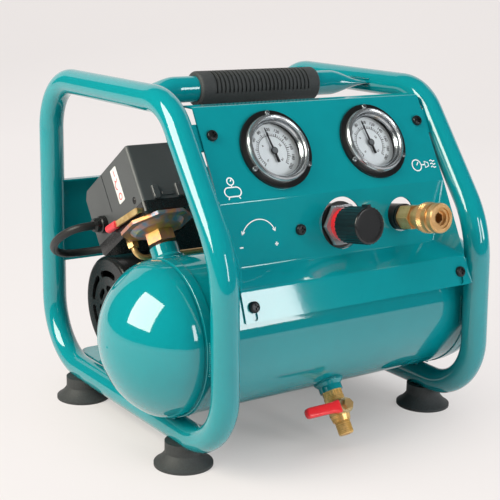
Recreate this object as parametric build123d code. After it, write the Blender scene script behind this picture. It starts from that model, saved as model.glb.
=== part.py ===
# Portable oil-free air compressor: tank, two tube hoops, bent front panel and a motor-driven piston pump.
# Millimetres. The origin is on the floor under the middle of the machine, its front faces -Y.
import os
from math import asin, atan2, cos, degrees, hypot, radians, sin, sqrt, tan

from build123d import *

# Fits
weld_gap = 0.05  # between faces that are welded, screwed or pressed together
run_gap = 0.3  # round a part that moves
shaft_gap = 0.05  # radial, round a turning or sliding shaft
through = 100.0  # cutter length that clears any one part

# Tube hoops, one each side
tube_d = 22.2
tube_wall = 1.6
hoop_span = 260.0
rail_z = 28.0
top_rail_z = 290.7
rear_leg_y = 153.9
front_top_y = -58.8
knee_y = -141.5
knee_z = 179.5
front_leg_y = -147.1
front_bottom_r = 49.0
knee_r = 98.0
front_top_r = 46.0
rear_top_r = 47.0
rear_bottom_r = 58.0

# Carrying handle across the top rails
handle_y = 13.0
handle_round_length = 164.0
tongue_width = 30.0
tongue_thick = 5.0
press_steps = [(0.0, 0.0), (0.35, 0.32), (0.7, 0.86), (0.85, 1.0)]  # shares of the way and the flattening
grip_length = 125.0
grip_d = 30.0
grip_grooves = 24
groove_pitch = 4.2
groove_width = 1.9
groove_depth = 1.3
groove_sector = (11.3, -50.0, -112.6)  # degrees round the grip, its front at zero
grip_edge_r = 2.5

# Rubber feet
foot_base_d = 48.6
foot_neck_d = 31.0
foot_flare_height = 11.0
foot_top_z = 20.5
foot_rim = 2.2
foot_hollow = (0.42, 0.45)  # where the flare's arc passes, as shares outward and up
foot_cup_d = 38.0
foot_cup_depth = 4.5
front_foot_y = -85.1
rear_foot_y = 94.9

# Sheet metal
sheet = 1.5
bend_r = 2.5
panel_half = 115.5
panel_drop = 4.1
brow_height = 69.5
brow_lean = 29.7
brow_set_back = 3.0
dash_height = 50.8
dash_lean = 8.94
ledge_depth = 23.2
ledge_drop = 10.0
lip_height = 23.3
lip_lean = 20.2
recess_end = 15.5
panel_flange = 14.0
back_panel_low_z = 119.0
back_panel_height = 77.0
back_panel_flange = 10.0
plate_thick = 2.0
plate_inset = 9.0
plate_front_y = -55.0
plate_rear_y = 124.0
plate_corner_r = 12.0

# Screws of the front panel
screw_head_d = 9.0
screw_head_h = 3.4
screw_d = 4.8
screw_length = 12.0
head_round = 0.55  # of the head's height
cross_span = 0.55  # of the head's width
cross_width = 0.14  # of the head's width
cross_sink = 0.4  # of the head's height
top_screw_x = 105.5
top_screw_up = 55.5
lip_screw_x = 106.5
lip_screw_up = 11.5
lip_slot = 8.0
bracket_screw_x = 41.0
tab_width = 22.0
tab_thick = 3.0
tab_reach = 14.0

# Air tank
tank_d = 127.0
tank_wall = 2.2
tank_half = 138.5
dome_depth = 51.5
dome_knuckle_r = 32.0
dome_skirt = 9.0
seam_lip = 0.8
seam_lip_width = 8.0
seam_lip_r = 0.64
seam_groove = 1.6
tank_over_rail = 1.0
tank_behind_leg = 1.0
bung_d = 24.0
bung_height = 13.0
bung_thread_d = 13.0
bung_root = 8.0
bung_flare = 2.6
bung_flare_low = 1.2
bung_flare_high = 4.0
port_d = 7.6
saddle_x = 78.0
saddle_back = 36.0
saddle_thick = 4.0
saddle_length = 34.0

# Drain valve under the tank
drain_angle = 36.0
drain_bung_d = 20.0
drain_bung_height = 9.0
drain_body_d = 17.5
drain_hex = 16.0
drain_hex_height = 5.0
drain_cone = 6.0
drain_barrel_d = 13.0
drain_barrel_length = 11.5
drain_length = 38.0
drain_bore_d = 6.0
drain_ball_d = 11.0
drain_stem_d = 5.0
drain_stem_down = 16.0
drain_neck_d = 10.0
drain_neck_height = 11.0
drain_lever_length = 41.5
drain_lever_plate = 13.0
drain_lever_width = 8.0
drain_lever_thick = 2.4
drain_grip_thick = 5.0
drain_grip_start = 12.0
drain_grip_r = 1.5
drain_nut = 8.0
drain_nut_height = 4.0

# Gauges on the brow of the panel
gauge_x = 50.0
gauge_up = 40.0
gauge_flange_d = 66.0
gauge_flange_thick = 2.4
gauge_case_d = 52.0
gauge_case_depth = 28.0
gauge_wall = 1.6
bezel_d = 56.8
bezel_height = 7.2
bezel_window_d = 44.0
bezel_throat_z = 1.6
bezel_skirt = 1.2
lens_d = 49.2
lens_ledge = 0.8
lens_z = 4.2
lens_thick = 1.2
dial_z = -3.8
dial_thick = 0.8
dial_shelf = 2.0
needle_length = 20.3
needle_tail = 10.0
needle_thick = 0.6
needle_over_dial = 1.8
needle_widths = (1.8, 0.5)  # at the hub and the point
tail_widths = (1.8, 2.4)  # at the hub and the end
needle_hub_d = 6.0
needle_rest = 10.0
needle_pin_d = 1.6
needle_pin_length = 6.0
gauge_stem_d = 10.0
gauge_stem_hex = 14.0
gauge_stem_length = 18.0
gauge_screw_ring_d = 61.2
gauge_screw_head_d = 4.2
gauge_screw_d = 2.6
gauge_screw_head_h = 1.8
gauge_screw_length = 7.0

# Regulator on the dash of the panel
controls_up = 24.5
regulator_hole_d = 42.5
regulator_hole_right = 1.8
regulator_hole_up = 1.1
regulator_body_d = 34.0
regulator_body_depth = 41.0
regulator_neck_d = 24.0
regulator_bracket_d = 36.0
regulator_bracket_thick = 2.0
regulator_port_depth = 22.0
regulator_port_hex = 15.0
regulator_port_length = 3.5
regulator_base_r = 4.0
regulator_floor = 9.0
regulator_neck_short = 1.0
regulator_washer_d = 38.0
regulator_washer_thick = 1.2
regulator_nut = 32.0
regulator_nut_height = 5.0
nut_crown = 1.8
lock_band_d = 27.2
lock_band_top = 19.0
knob_d = 30.4
knob_skirt = 11.0
knob_face = 37.5
knob_web = 6.0
knob_ribs = 28
knob_rib_d = 1.6
knob_rib_short = 1.2
knob_edge_r = 1.4
knob_tab = (3.6, 3.4, 7.0)
knob_sink = 0.6
knob_land = 3.5
knob_push = 3.0
spindle_d = 8.0

# Quick coupler beside the regulator
coupler_x = 63.5
coupler_hole_d = 28.7
coupler_hole_right = 1.6
coupler_hole_up = 2.0
adaptor_d = 22.0
adaptor_front = 7.0
adaptor_back = 30.0
adaptor_step = 1.2
adaptor_floor = 5.0
coupler_hex = 19.0
coupler_hex_top = 21.0
coupler_body_d = 17.0
coupler_sleeve_d = 24.6
coupler_sleeve_start = 27.0
coupler_reach = 51.5
coupler_bore_d = 12.2
coupler_bore_depth = 22.0
coupler_spigot_d = 10.0
coupler_spigot_length = 8.0
coupler_flow_d = 6.0
coupler_hex_chamfer = 1.2
coupler_lip = 1.2
outlet_pipe_d = 10.0
outlet_pipe_wall = 1.5
outlet_pipe_in = 3.0

# Other fittings on the tank
check_valve_x = 40.0
check_valve_angle = 30.0
safety_valve_inset = 48.5
safety_valve_angle = 22.0
outlet_bung_x = -45.0
small_bung_d = 18.0
small_bung_height = 8.0
fitting_hex = 15.0
fitting_length = 24.0
safety_stem_d = 3.0
safety_ring_d = 16.0
safety_wire_d = 2.0

# Pressure switch on its tilted bung
switch_inset = 24.5
switch_angle = 35.0
switch_nut = 23.0
switch_nut_top = 25.5
diaphragm_d = 46.0
diaphragm_flange = 57.0
diaphragm_flange_thick = 3.0
diaphragm_corner_r = 2.0
switch_floor = 34.6
switch_left = 22.0
switch_right = 38.0
switch_front = 27.0
switch_rear = 68.0
switch_split = 45.0
switch_top = 95.4
switch_wall = 2.2
switch_chamfer = 9.0
switch_corner_r = 4.0
switch_edge_r = 1.5
switch_base_chamfer = 2.0
switch_base_floor = 4.0
lid_groove = (1.6, 1.2)  # depth twice over, width
lid_groove_drop = 36.0
cover_screw_d = 6.0
cover_screw_sink = 1.2
cover_screw_in = 14.3
cover_screw_up = 51.0
switch_lever_up = 39.4
switch_lever_back = -20.3
switch_lever_length = 58.0
switch_lever_rise = 8.0
switch_lever_width = 5.0
switch_lever_thick = 2.0
switch_lever_gap = 2.9
switch_pin_d = 4.0
switch_pin_length = 8.0
switch_boss_d = 9.0
switch_boss_length = 9.0
switch_tip_d = 7.0
switch_tip_length = 17.0
switch_tip_end = 2.0
gland_d = 15.0
gland_collar = 4.5
gland_length = 11.0
gland_spigot = 5.0
gland_spigot_d = 10.5
gland_back = 46.0
gland_up = 56.7
mains_gland_x = 8.0
mains_gland_up = 63.0
lead_d = 7.0
lead_straight = 14.0
lead_round = 0.45  # share of the shorter run that a bend takes up
lead_middle = [
    (-163, 45, 172.5),
    (-169, 60, 163),
    (-166, 78, 152),
    (-156, 94, 142),
    (-141, 104, 136),
    (-122, 104, 135.6),
    (-103, 92, 139.5),
]

# Motor
motor_d = 94.0
motor_over_plate = 2.4
motor_off_rear_leg = 11.8
motor_left = -98.0
motor_right = 20.0
motor_wall = 2.5
motor_foot_length = 16.0
motor_foot_width = 40.0
motor_foot_height = 26.0
motor_foot_x = 36.0
motor_flange_width = 74.0
motor_flange_thick = 4.0
motor_bolt_d = 6.0
motor_bolt_reach = 30.0
end_cap_thick = 10.0
end_cap_wall = 2.4
cap_slots = 6
cap_slot_width = 6.0
cap_slot_rings = (17.0, 31.0)
cap_slot_turn = 15.0
shaft_d = 12.0
stator_length = 62.0
stator_bore_d = 52.0
rotor_gap = 0.6
fan_d = 74.0
fan_width = 12.0
fan_blades = 7
fan_blade_thick = 2.0
cover_left = -70.0
cover_right = -8.0
cover_half_width = 26.0
cover_height = 41.0
cover_shoulder_r = 12.0
cover_edge_r = 3.0
cover_gland_up = 8.0

# Pump
crankcase_d = 68.0
crankcase_wall = 4.0
crankcase_right = 84.0
cylinder_x = 60.0
throw = 7.0
crank_disc_d = 40.0
crank_disc_left = 40.0
crank_disc_right = 52.0
crank_pin_d = 10.0
rod_thick = 12.0
rod_eye_d = 26.0
rod_eye_bore_d = 15.0
rod_blade_thick = 7.2
rod_blade_width = 14.3
piston_d = 44.0
piston_height = 10.0
cylinder_pad_up = 38.0
cylinder_height = 42.0
cylinder_d = 54.0
cylinder_fin_d = 64.0
cylinder_fins = 5
fin_thick = 2.4
head_width = 60.0
head_height = 24.0
head_fins = 6
head_fin_depth = 11.0
head_bolt_d = 6.0
head_bolt_inset = 8.0
piston_headroom = 0.8
filter_d = 36.0
filter_length = 22.0
filter_neck_d = 14.0
filter_neck_length = 4.0
filter_edge_r = 3.0
filter_slot = (4.0, 3.0)
filter_slots = 12
discharge_d = 8.0
discharge_seat = 7.0
discharge_rise = 26.0
discharge_run = 18.0
discharge_sag = 12.0
discharge_bend_r = 11.0
unloader_d = 5.0
unloader_nut = 9.0
unloader_nut_height = 7.0
unloader_right = -8.0
unloader_back = 34.0
unloader_drop = 17.0
unloader_bend_r = 9.0
gauge_tube_d = 4.0

# Worked out from the sizes above
tube_r = tube_d / 2
hoop_half = hoop_span / 2
leg_inner = hoop_half - tube_r
base = (Align.CENTER, Align.CENTER, Align.MIN)


def lower_leg_y(z):
    return front_leg_y + (knee_y - front_leg_y) * (z - rail_z) / (knee_z - rail_z)


def upper_leg_y(z):
    return knee_y + (front_top_y - knee_y) * (z - knee_z) / (top_rail_z - knee_z)


# Corners of the panel's side view as (y, z), from its top edge down
panel_top_z = top_rail_z - panel_drop
crease_z = panel_top_z - brow_height
crease = (upper_leg_y(crease_z) + brow_set_back, crease_z)
panel_top = (crease[0] + brow_height * tan(radians(brow_lean)), panel_top_z)
dash_foot = (crease[0] - dash_height * tan(radians(dash_lean)), crease_z - dash_height)
ledge_edge = (dash_foot[0] - ledge_depth, dash_foot[1] - ledge_drop)
panel_foot = (ledge_edge[0] - lip_height * tan(radians(lip_lean)), ledge_edge[1] - lip_height)

plate_z = rail_z + sqrt(tube_r**2 - plate_inset**2) + weld_gap
plate_top = plate_z + plate_thick

tank_r = tank_d / 2
tank_z = rail_z + tube_r + tank_over_rail + tank_r
tank_y = lower_leg_y(tank_z) + tube_r + tank_behind_leg + tank_r

motor_r = motor_d / 2
motor_z = plate_top + motor_over_plate + motor_r
motor_y = rear_leg_y - tube_r - motor_off_rear_leg - motor_r

pad_z = motor_z + cylinder_pad_up
head_z = pad_z + cylinder_height
piston_top = head_z - piston_headroom


def at(origin, z_dir):
    return Plane(origin=origin, x_dir=(1, 0, 0), z_dir=z_dir).location


def leaning(point, lean):
    return at((0, *point), (0, -cos(radians(lean)), sin(radians(lean))))


# Local frames on the panel's outer face: x to the right, y up the sheet, z out of it
brow = leaning(crease, brow_lean)
dash = leaning(dash_foot, dash_lean)
lip = leaning(panel_foot, lip_lean)
regulator_at = dash * Pos(0, controls_up, 0)
coupler_at = dash * Pos(coupler_x, controls_up, 0)


def on_tank(x, angle):
    # frame on the shell's outside, z outward; the angle leans rearward from straight up
    outward = (0, sin(radians(angle)), cos(radians(angle)))
    return at((x, tank_y, tank_z), outward) * Pos(0, 0, tank_r)


switch_at = on_tank(switch_inset - tank_half, switch_angle)
drain_at = on_tank(0, 180 + drain_angle)
check_at = on_tank(check_valve_x, check_valve_angle)
safety_at = on_tank(tank_half - safety_valve_inset, safety_valve_angle)
supply_port = (regulator_at * Pos(-regulator_body_d / 2, 0, -regulator_port_depth)).position
outlet_bung_angle = degrees(atan2(supply_port.Y - tank_y, supply_port.Z - tank_z))
outlet_at = on_tank(outlet_bung_x, outlet_bung_angle)


def motor_at(x):
    return Plane(origin=(x, motor_y, motor_z), x_dir=(0, 1, 0), z_dir=(1, 0, 0)).location


def rod(d, height):
    return Cylinder(d / 2, height, align=base)


def pipe(outer_d, inner_d, height):
    return rod(outer_d, height) - rod(inner_d, height)


def hexagon(across, height):
    return extrude(RegularPolygon(across / 2, 6, major_radius=False), height)


def turned(*points):
    # solid of revolution about z from (radius, height) points
    return revolve(Plane.XZ * Polygon(*points, align=None), Axis.Z)


def bent_tube(d, radius, *points):
    path = FilletPolyline(*points, radius=radius)
    return sweep(Plane(path @ 0, z_dir=path % 0) * Circle(d / 2), path=path)


def largest(shape):
    return shape.solids().sort_by(SortBy.VOLUME)[-1]


def mirrored_pair(shape):
    return [shape, mirror(shape, Plane.YZ)]


def hoop(x, outer_d, inner_d=0.0):
    corners = [
        (x, front_leg_y, rail_z),
        (x, knee_y, knee_z),
        (x, front_top_y, top_rail_z),
        (x, rear_leg_y, top_rail_z),
        (x, rear_leg_y, rail_z),
    ]
    radii = [front_bottom_r, knee_r, front_top_r, rear_top_r, rear_bottom_r]
    path = FilletPolyline(*corners, radius=radii, close=True)
    section = Circle(outer_d / 2)
    if inner_d:
        section -= Circle(inner_d / 2)
    return sweep(Plane(path @ 0, z_dir=path % 0) * section, path=path)


hoop_cutters = [hoop(side * hoop_half, tube_d + 2 * weld_gap) for side in (-1, 1)]


def fitted_to_hoops(shape):
    return shape - hoop_cutters[0] - hoop_cutters[1]


def frame_hoop(side):
    return hoop(side * hoop_half, tube_d, tube_d - 2 * tube_wall)


def handle_bar():
    # round bar whose ends are pressed down to flat tongues that meet the top rails
    half_round = handle_round_length / 2
    press = leg_inner - half_round
    centre = Plane(origin=(0, handle_y, top_rail_z), x_dir=(0, 1, 0), z_dir=(1, 0, 0))
    bar = centre.location * Cylinder(tube_r, handle_round_length)
    sections = []
    for share, flat in press_steps:
        half_wide = tube_r + (tongue_width / 2 - tube_r) * flat
        half_thick = tube_r + (tongue_thick / 2 - tube_r) * flat
        place = centre.location * Pos(0, 0, half_round + press * share)
        sections.append(place * Ellipse(half_wide, half_thick))
    end = loft(sections) + extrude(sections[-1], tube_r + press * (1 - press_steps[-1][0]))
    for piece in mirrored_pair(end):
        bar += piece
    return fitted_to_hoops(bar)


def handle_grip():
    centre = Plane(origin=(0, handle_y, top_rail_z), x_dir=(0, -1, 0), z_dir=(1, 0, 0)).location
    sleeve = Cylinder(grip_d / 2, grip_length)
    sleeve = fillet(sleeve.edges(), grip_edge_r)
    sleeve -= Cylinder(tube_r + weld_gap, grip_length)
    # the grooves cover the front and top of the sleeve
    rays = [(2 * grip_d * cos(radians(turn)), 2 * grip_d * sin(radians(turn))) for turn in groove_sector]
    wedge = Polygon((0, 0), *rays, align=None)
    groove = Cylinder(grip_d / 2 + 1, groove_width) - Cylinder(grip_d / 2 - groove_depth, groove_width)
    groove = groove & extrude(wedge, groove_width / 2, both=True)
    first = -groove_pitch * (grip_grooves - 1) / 2
    cutters = [Pos(0, 0, first + groove_pitch * i) * groove for i in range(grip_grooves)]
    return centre * (sleeve - cutters)


def foot(side, y):
    rim = foot_base_d / 2
    neck = foot_neck_d / 2
    flare = foot_flare_height - foot_rim
    profile = make_face(
        Polyline((0, foot_top_z), (neck, foot_top_z), (neck, foot_flare_height)).edges()
        + ThreePointArc(
            (neck, foot_flare_height),
            (neck + (rim - neck) * foot_hollow[0], foot_rim + flare * foot_hollow[1]),
            (rim, foot_rim),
        ).edges()
        + Polyline(
            (rim, foot_rim),
            (rim, 0),
            (foot_cup_d / 2, 0),
            (foot_cup_d / 4, foot_cup_depth),
            (0, foot_cup_depth),
            (0, foot_top_z),
        ).edges()
    )
    cup = revolve(Plane.XZ * profile, Axis.Z)
    return fitted_to_hoops(Pos(side * hoop_half, y, 0) * cup)


def panel_screw_places():
    tops = [brow * Pos(side * top_screw_x, top_screw_up, 0) for side in (-1, 1)]
    lips = [lip * Pos(side * lip_screw_x, lip_screw_up, 0) for side in (-1, 1)]
    return tops, lips, dash * Pos(-bracket_screw_x, controls_up, 0)


def panel_recess():
    # wedge pressed in between crease and ledge, closed by a slanted facet at each end
    wedge = extrude(Plane.YZ * Polygon(crease, dash_foot, ledge_edge, align=None), panel_half, both=True)
    rise_y = crease[0] - ledge_edge[0]
    rise_z = crease[1] - ledge_edge[1]
    length = hypot(rise_y, rise_z)
    front = Plane(origin=(0, *ledge_edge), x_dir=(1, 0, 0), z_dir=(0, rise_y, rise_z))
    depth = (Vector(0, *dash_foot) - front.origin).dot(front.y_dir)
    floor_half = panel_half - recess_end
    ends = Polygon((-panel_half, 0), (panel_half, 0), (floor_half, depth), (-floor_half, depth), align=None)
    return wedge & extrude(front * ends, length)


def front_panel():
    flange_end = (panel_top[0] + panel_flange, panel_top[1])
    back_foot = (flange_end[0], panel_foot[1])
    side_view = Polygon(flange_end, panel_top, crease, ledge_edge, panel_foot, back_foot, align=None)
    block = extrude(Plane.YZ * side_view, panel_half, both=True) - panel_recess()
    open_faces = block.faces().filter_by(Axis.X)
    open_faces.append(block.faces().sort_by(Axis.Z)[0])
    open_faces.append(block.faces().sort_by(Axis.Y)[-1])
    hollow = block - offset(block, amount=-sheet, openings=open_faces, kind=Kind.INTERSECTION)
    open_edges = [edge for face in open_faces for edge in face.edges()]
    creases = [edge for edge in block.edges() if edge not in open_edges]
    skin = fillet(creases, bend_r) - hollow
    tops, lips, bracket = panel_screw_places()
    through = Cylinder(screw_d / 2 + weld_gap, 4 * sheet)
    slot = extrude(SlotOverall(lip_slot + screw_d, screw_d + 2 * weld_gap, rotation=90), 2 * sheet, both=True)
    cuts = [place * through for place in tops] + [bracket * through]
    cuts += [place * Pos(0, -lip_slot / 2, 0) * slot for place in lips]
    for side in (-1, 1):
        place = brow * Pos(side * gauge_x, gauge_up, 0)
        cuts.append(place * Cylinder(gauge_case_d / 2 + run_gap, 4 * sheet))
        small = Cylinder(gauge_screw_d / 2 + weld_gap, 4 * sheet)
        cuts += [place * spot * small for spot in gauge_screw_spots()]
    hole = Pos(regulator_hole_right, regulator_hole_up, 0)
    cuts.append(regulator_at * hole * Cylinder(regulator_hole_d / 2, 4 * sheet))
    hole = Pos(coupler_hole_right, coupler_hole_up, 0)
    cuts.append(coupler_at * hole * Cylinder(coupler_hole_d / 2, 4 * sheet))
    return skin - cuts


def gauge_screw_spots():
    return PolarLocations(gauge_screw_ring_d / 2, 3, start_angle=90)


def panel_tabs():
    tops, lips, bracket = panel_screw_places()
    tabs = []
    for place, x in [(tops, top_screw_x), (lips, lip_screw_x)]:
        for side, spot in zip((-1, 1), place):
            reach = hoop_half - x
            blank = Box(reach + tab_reach, tab_width, tab_thick)
            tab = Pos(side * (reach - tab_reach) / 2, 0, -sheet - weld_gap - tab_thick / 2) * blank
            tab -= Cylinder(screw_d / 2 + weld_gap, 4 * (sheet + tab_thick))
            pieces = fitted_to_hoops(spot * tab).solids().sort_by(Axis.X)
            tabs.append(pieces[0 if side > 0 else -1])
    return tabs


def pan_screw(d, length, head_d, head_h):
    # pan head with a cross recess, seated at z = 0
    head = rod(head_d, head_h)
    head = fillet(head.edges().group_by(Axis.Z)[-1], head_h * head_round)
    bar = Box(head_d * cross_span, head_d * cross_width, head_h * cross_sink * 2)
    cross = Pos(0, 0, head_h) * (bar + Rot(0, 0, 90) * bar)
    return head - cross + Pos(0, 0, -length) * rod(d, length)


def panel_screws():
    tops, lips, bracket = panel_screw_places()
    screw = pan_screw(screw_d, screw_length, screw_head_d, screw_head_h)
    return [place * screw for place in [*tops, *lips, bracket]]


def back_panel():
    # channel between the rear legs, flanges forward
    seat = (Align.CENTER, Align.MAX, Align.MIN)
    channel = Box(hoop_span, back_panel_flange, back_panel_height, align=seat)
    channel = fillet(channel.edges().filter_by(Axis.X).group_by(Axis.Y)[-1], bend_r)
    inside = Box(hoop_span, back_panel_flange, back_panel_height - 2 * sheet, align=seat)
    channel -= Pos(0, -sheet, sheet) * inside
    channel = Pos(0, rear_leg_y + sheet / 2, back_panel_low_z) * channel
    return largest(fitted_to_hoops(channel))


def base_plate():
    blank = Box(hoop_span - 2 * plate_inset, plate_rear_y - plate_front_y, plate_thick, align=base)
    blank = fillet(blank.edges().filter_by(Axis.Z), plate_corner_r)
    blank = Pos(0, (plate_rear_y + plate_front_y) / 2, plate_z) * blank
    return largest(fitted_to_hoops(blank)) - motor_bolt_holes()


def tank_along_x(x):
    return Plane(origin=(x, tank_y, tank_z), x_dir=(0, 1, 0), z_dir=(1, 0, 0)).location


def tank_shell():
    shell = Cylinder(tank_r, 2 * tank_half)
    for end in (-1, 1):
        band = fillet(Cylinder(tank_r + seam_lip, seam_lip_width).edges(), seam_lip_r)
        shell += Pos(0, 0, end * (tank_half - seam_lip_width / 2)) * band
    shell -= Cylinder(tank_r - tank_wall, 2 * tank_half)
    shell = tank_along_x(0) * shell
    return shell - [place * Pos(0, 0, -tank_r) * rod(d, tank_r) for place, d in tank_ports()]


def tank_ports():
    return [
        (switch_at, port_d),
        (drain_at, drain_bore_d),
        (check_at, port_d),
        (safety_at, port_d),
        (outlet_at, port_d),
    ]


def tank_dome(side):
    # pressed head: knuckle and crown arcs, a groove at the weld, and a skirt that slips inside the shell
    skirt = tank_r - tank_wall - weld_gap
    start = seam_lip + seam_groove
    height = dome_depth - start
    reach = tank_r - dome_knuckle_r
    crown_r = (reach**2 + height**2 - dome_knuckle_r**2) / (2 * (height - dome_knuckle_r))
    meet = degrees(atan2(crown_r - height, reach))
    arcs = Curve()
    for inset in (0, tank_wall + weld_gap):
        arcs += CenterArc((reach, start), dome_knuckle_r - inset, 0, meet)
        arcs += CenterArc((0, start + height - crown_r), crown_r - inset, meet, 90 - meet)
    inner = tank_r - tank_wall - weld_gap
    lines = Polyline((0, dome_depth), (0, dome_depth - tank_wall - weld_gap)).edges()
    lines += Polyline(
        (inner, start),
        (inner, start - seam_lip),
        (inner - tank_wall, start - seam_lip),
        (inner - tank_wall, -dome_skirt),
        (skirt, -dome_skirt),
        (skirt, 0),
        (tank_r, 0),
        (tank_r, seam_lip),
        (tank_r - seam_lip, seam_lip),
        (tank_r - seam_lip, start),
        (tank_r, start),
    ).edges()
    wall = make_face(arcs.edges() + lines)
    bowl = revolve(Plane.XZ * wall, Axis.Z)
    turn = Rot(0, 0, 0) if side > 0 else Rot(180, 0, 0)
    return tank_along_x(side * tank_half) * turn * bowl


def bung(d, height, thread_d):
    # weld-on bung with a flared foot, hollow for its fitting
    r = d / 2
    flare = turned(
        (0, -bung_root),
        (r, -bung_root),
        (r + bung_flare, bung_flare_low),
        (r, bung_flare_high),
        (r, height),
        (0, height),
    )
    return flare - Cylinder(thread_d / 2, through)


def tank_bungs():
    shell = tank_along_x(0) * Cylinder(tank_r + weld_gap, 2 * tank_half)
    bungs = [
        switch_at * bung(bung_d, bung_height, bung_thread_d),
        drain_at * bung(drain_bung_d, drain_bung_height, bung_thread_d),
        check_at * bung(small_bung_d, small_bung_height, bung_thread_d),
        safety_at * bung(small_bung_d, small_bung_height, bung_thread_d),
        outlet_at * bung(small_bung_d, small_bung_height, bung_thread_d),
    ]
    return [piece - shell for piece in bungs]


def tank_mounts():
    # saddles on the base plate; the shell is also welded where it meets rails and front legs
    shell = tank_along_x(0) * Cylinder(tank_r + weld_gap, 2 * tank_half)
    pieces = []
    for side in (-1, 1):
        block = Box(saddle_thick, saddle_length, tank_r, align=base)
        saddle = Pos(side * saddle_x, tank_y + saddle_back, plate_top + weld_gap) * block - shell
        pieces.append(saddle.solids().sort_by(Axis.Z)[0])
    return pieces


# The drain valve's flow leaves the tank along drain_at; its stem stands square to it, forward and up
drain_ball_z = drain_bung_height + drain_stem_down
drain_stem_at = drain_at * Pos(0, 0, drain_ball_z) * Rot(-90, 0, 0)


def drain_valve_body():
    # hex collar, turned body with a cone, and an open barrel at the outlet
    body_r = drain_body_d / 2
    barrel_r = drain_barrel_d / 2
    cone_end = drain_length - drain_barrel_length
    body = turned(
        (0, 0),
        (body_r, 0),
        (body_r, cone_end - drain_cone),
        (barrel_r + 1, cone_end),
        (barrel_r, cone_end),
        (barrel_r, drain_length - 1),
        (barrel_r - 1, drain_length),
        (0, drain_length),
    )
    body -= pipe(2 * drain_body_d, bung_thread_d, drain_hex_height)
    body += hexagon(drain_hex, drain_hex_height)
    body = Pos(0, 0, drain_bung_height) * body
    body += Pos(0, 0, 1) * rod(bung_thread_d - 2 * weld_gap, drain_bung_height)
    stem = Pos(0, 0, drain_ball_z) * Rot(-90, 0, 0)
    body += stem * rod(drain_neck_d, drain_neck_height)
    body -= rod(drain_bore_d, drain_bung_height + drain_length)
    body -= Pos(0, 0, drain_ball_z) * Sphere(drain_ball_d / 2 + run_gap)
    body -= stem * rod(drain_stem_d + 2 * shaft_gap, 2 * drain_neck_height)
    return drain_at * body


def drain_ball():
    # ball and stem in one, its bore across the flow while the valve is shut
    ball = Sphere(drain_ball_d / 2)
    ball += rod(drain_stem_d, drain_neck_height + drain_lever_thick + run_gap)
    ball -= Rot(0, 90, 0) * Cylinder(drain_bore_d / 2, drain_ball_d + 2)
    return drain_stem_at * ball


def drain_lever():
    # plate under the nut, narrowing to a thick dipped grip
    plate = drain_lever_plate / 2
    half = drain_lever_width / 2
    end = drain_lever_length - half
    start = -drain_grip_start
    outline = Circle(plate) + Polygon((0, plate), (0, -plate), (start, -half), (start, half), align=None)
    grip = Pos((start - end) / 2, 0) * SlotOverall(end + start + 2 * half, 2 * half)
    lever = extrude(outline, drain_lever_thick)
    lever += fillet(extrude(grip, drain_grip_thick).edges().group_by(Axis.Z)[-1], drain_grip_r)
    lever -= Cylinder(drain_stem_d / 2 + weld_gap, 4 * drain_lever_thick)
    return drain_stem_at * Pos(0, 0, drain_neck_height + run_gap) * lever


def drain_nut_on_stem():
    top = drain_neck_height + run_gap + drain_lever_thick
    return drain_stem_at * Pos(0, 0, top) * hexagon(drain_nut, drain_nut_height)


def gauge_place(side):
    return brow * Pos(side * gauge_x, gauge_up, 0)


def gauge_case():
    inner_d = gauge_case_d - 2 * gauge_wall
    case = Pos(0, 0, -gauge_case_depth) * rod(gauge_case_d, gauge_case_depth)
    case += rod(gauge_flange_d, gauge_flange_thick)
    case -= Pos(0, 0, gauge_wall - gauge_case_depth) * rod(inner_d, through)
    stem = hexagon(gauge_stem_hex, gauge_stem_length / 2) + rod(gauge_stem_d, gauge_stem_length)
    case += Pos(0, 0, -gauge_case_depth) * Rot(180, 0, 0) * stem
    hole = Cylinder(gauge_screw_d / 2 + weld_gap, 4 * gauge_flange_thick)
    case -= [spot * hole for spot in gauge_screw_spots()]
    # shelf that the dial lies on
    shelf = pipe(inner_d, inner_d - 2 * dial_shelf, dial_shelf)
    return case + Pos(0, 0, dial_z - dial_thick - dial_shelf) * shelf


def gauge_bezel():
    # rolled rim on the flange, a ledge for the lens, and a funnel down to the dial
    outer = bezel_d / 2
    window = bezel_window_d / 2
    seat = lens_d / 2
    foot = gauge_flange_thick
    return turned(
        (outer, foot),
        (outer, bezel_height - 2.4),
        (outer - 0.8, bezel_height - 0.7),
        (outer - 2.0, bezel_height),
        (outer - 3.2, bezel_height - 0.5),
        (seat, lens_z + lens_thick),
        (seat, lens_z),
        (seat - lens_ledge, lens_z),
        (window, bezel_throat_z),
        (window + bezel_skirt, bezel_throat_z),
        (gauge_case_d / 2 - gauge_wall - run_gap, foot),
    )


def gauge_dial():
    r = gauge_case_d / 2 - gauge_wall - weld_gap
    disc = Pos(0, 0, dial_z - dial_thick) * rod(2 * r, dial_thick)
    return disc - Cylinder(needle_pin_d / 2 + shaft_gap, through)


def gauge_lens():
    return Pos(0, 0, lens_z) * rod(lens_d - 2 * weld_gap, lens_thick)


def tapered(widths, length):
    near, far = widths
    return Polygon((-near / 2, 0), (near / 2, 0), (far / 2, length), (-far / 2, length), align=None)


def gauge_needle():
    # pointer with a tail on a pin through the dial, at its reading in the picture
    needle = extrude(tapered(needle_widths, needle_length), needle_thick)
    needle += extrude(Rot(0, 0, 180) * tapered(tail_widths, needle_tail), needle_thick)
    needle += rod(needle_hub_d, 2 * needle_thick)
    needle += Pos(0, 0, -needle_pin_length) * rod(needle_pin_d, needle_pin_length)
    return Rot(0, 0, needle_rest) * Pos(0, 0, dial_z + needle_over_dial) * needle


def gauge_screws():
    screw = pan_screw(gauge_screw_d, gauge_screw_length, gauge_screw_head_d, gauge_screw_head_h)
    places = [gauge_place(side) * spot for side in (-1, 1) for spot in gauge_screw_spots()]
    return [place * Pos(0, 0, gauge_flange_thick) * screw for place in places]


bracket_face = -sheet


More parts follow.
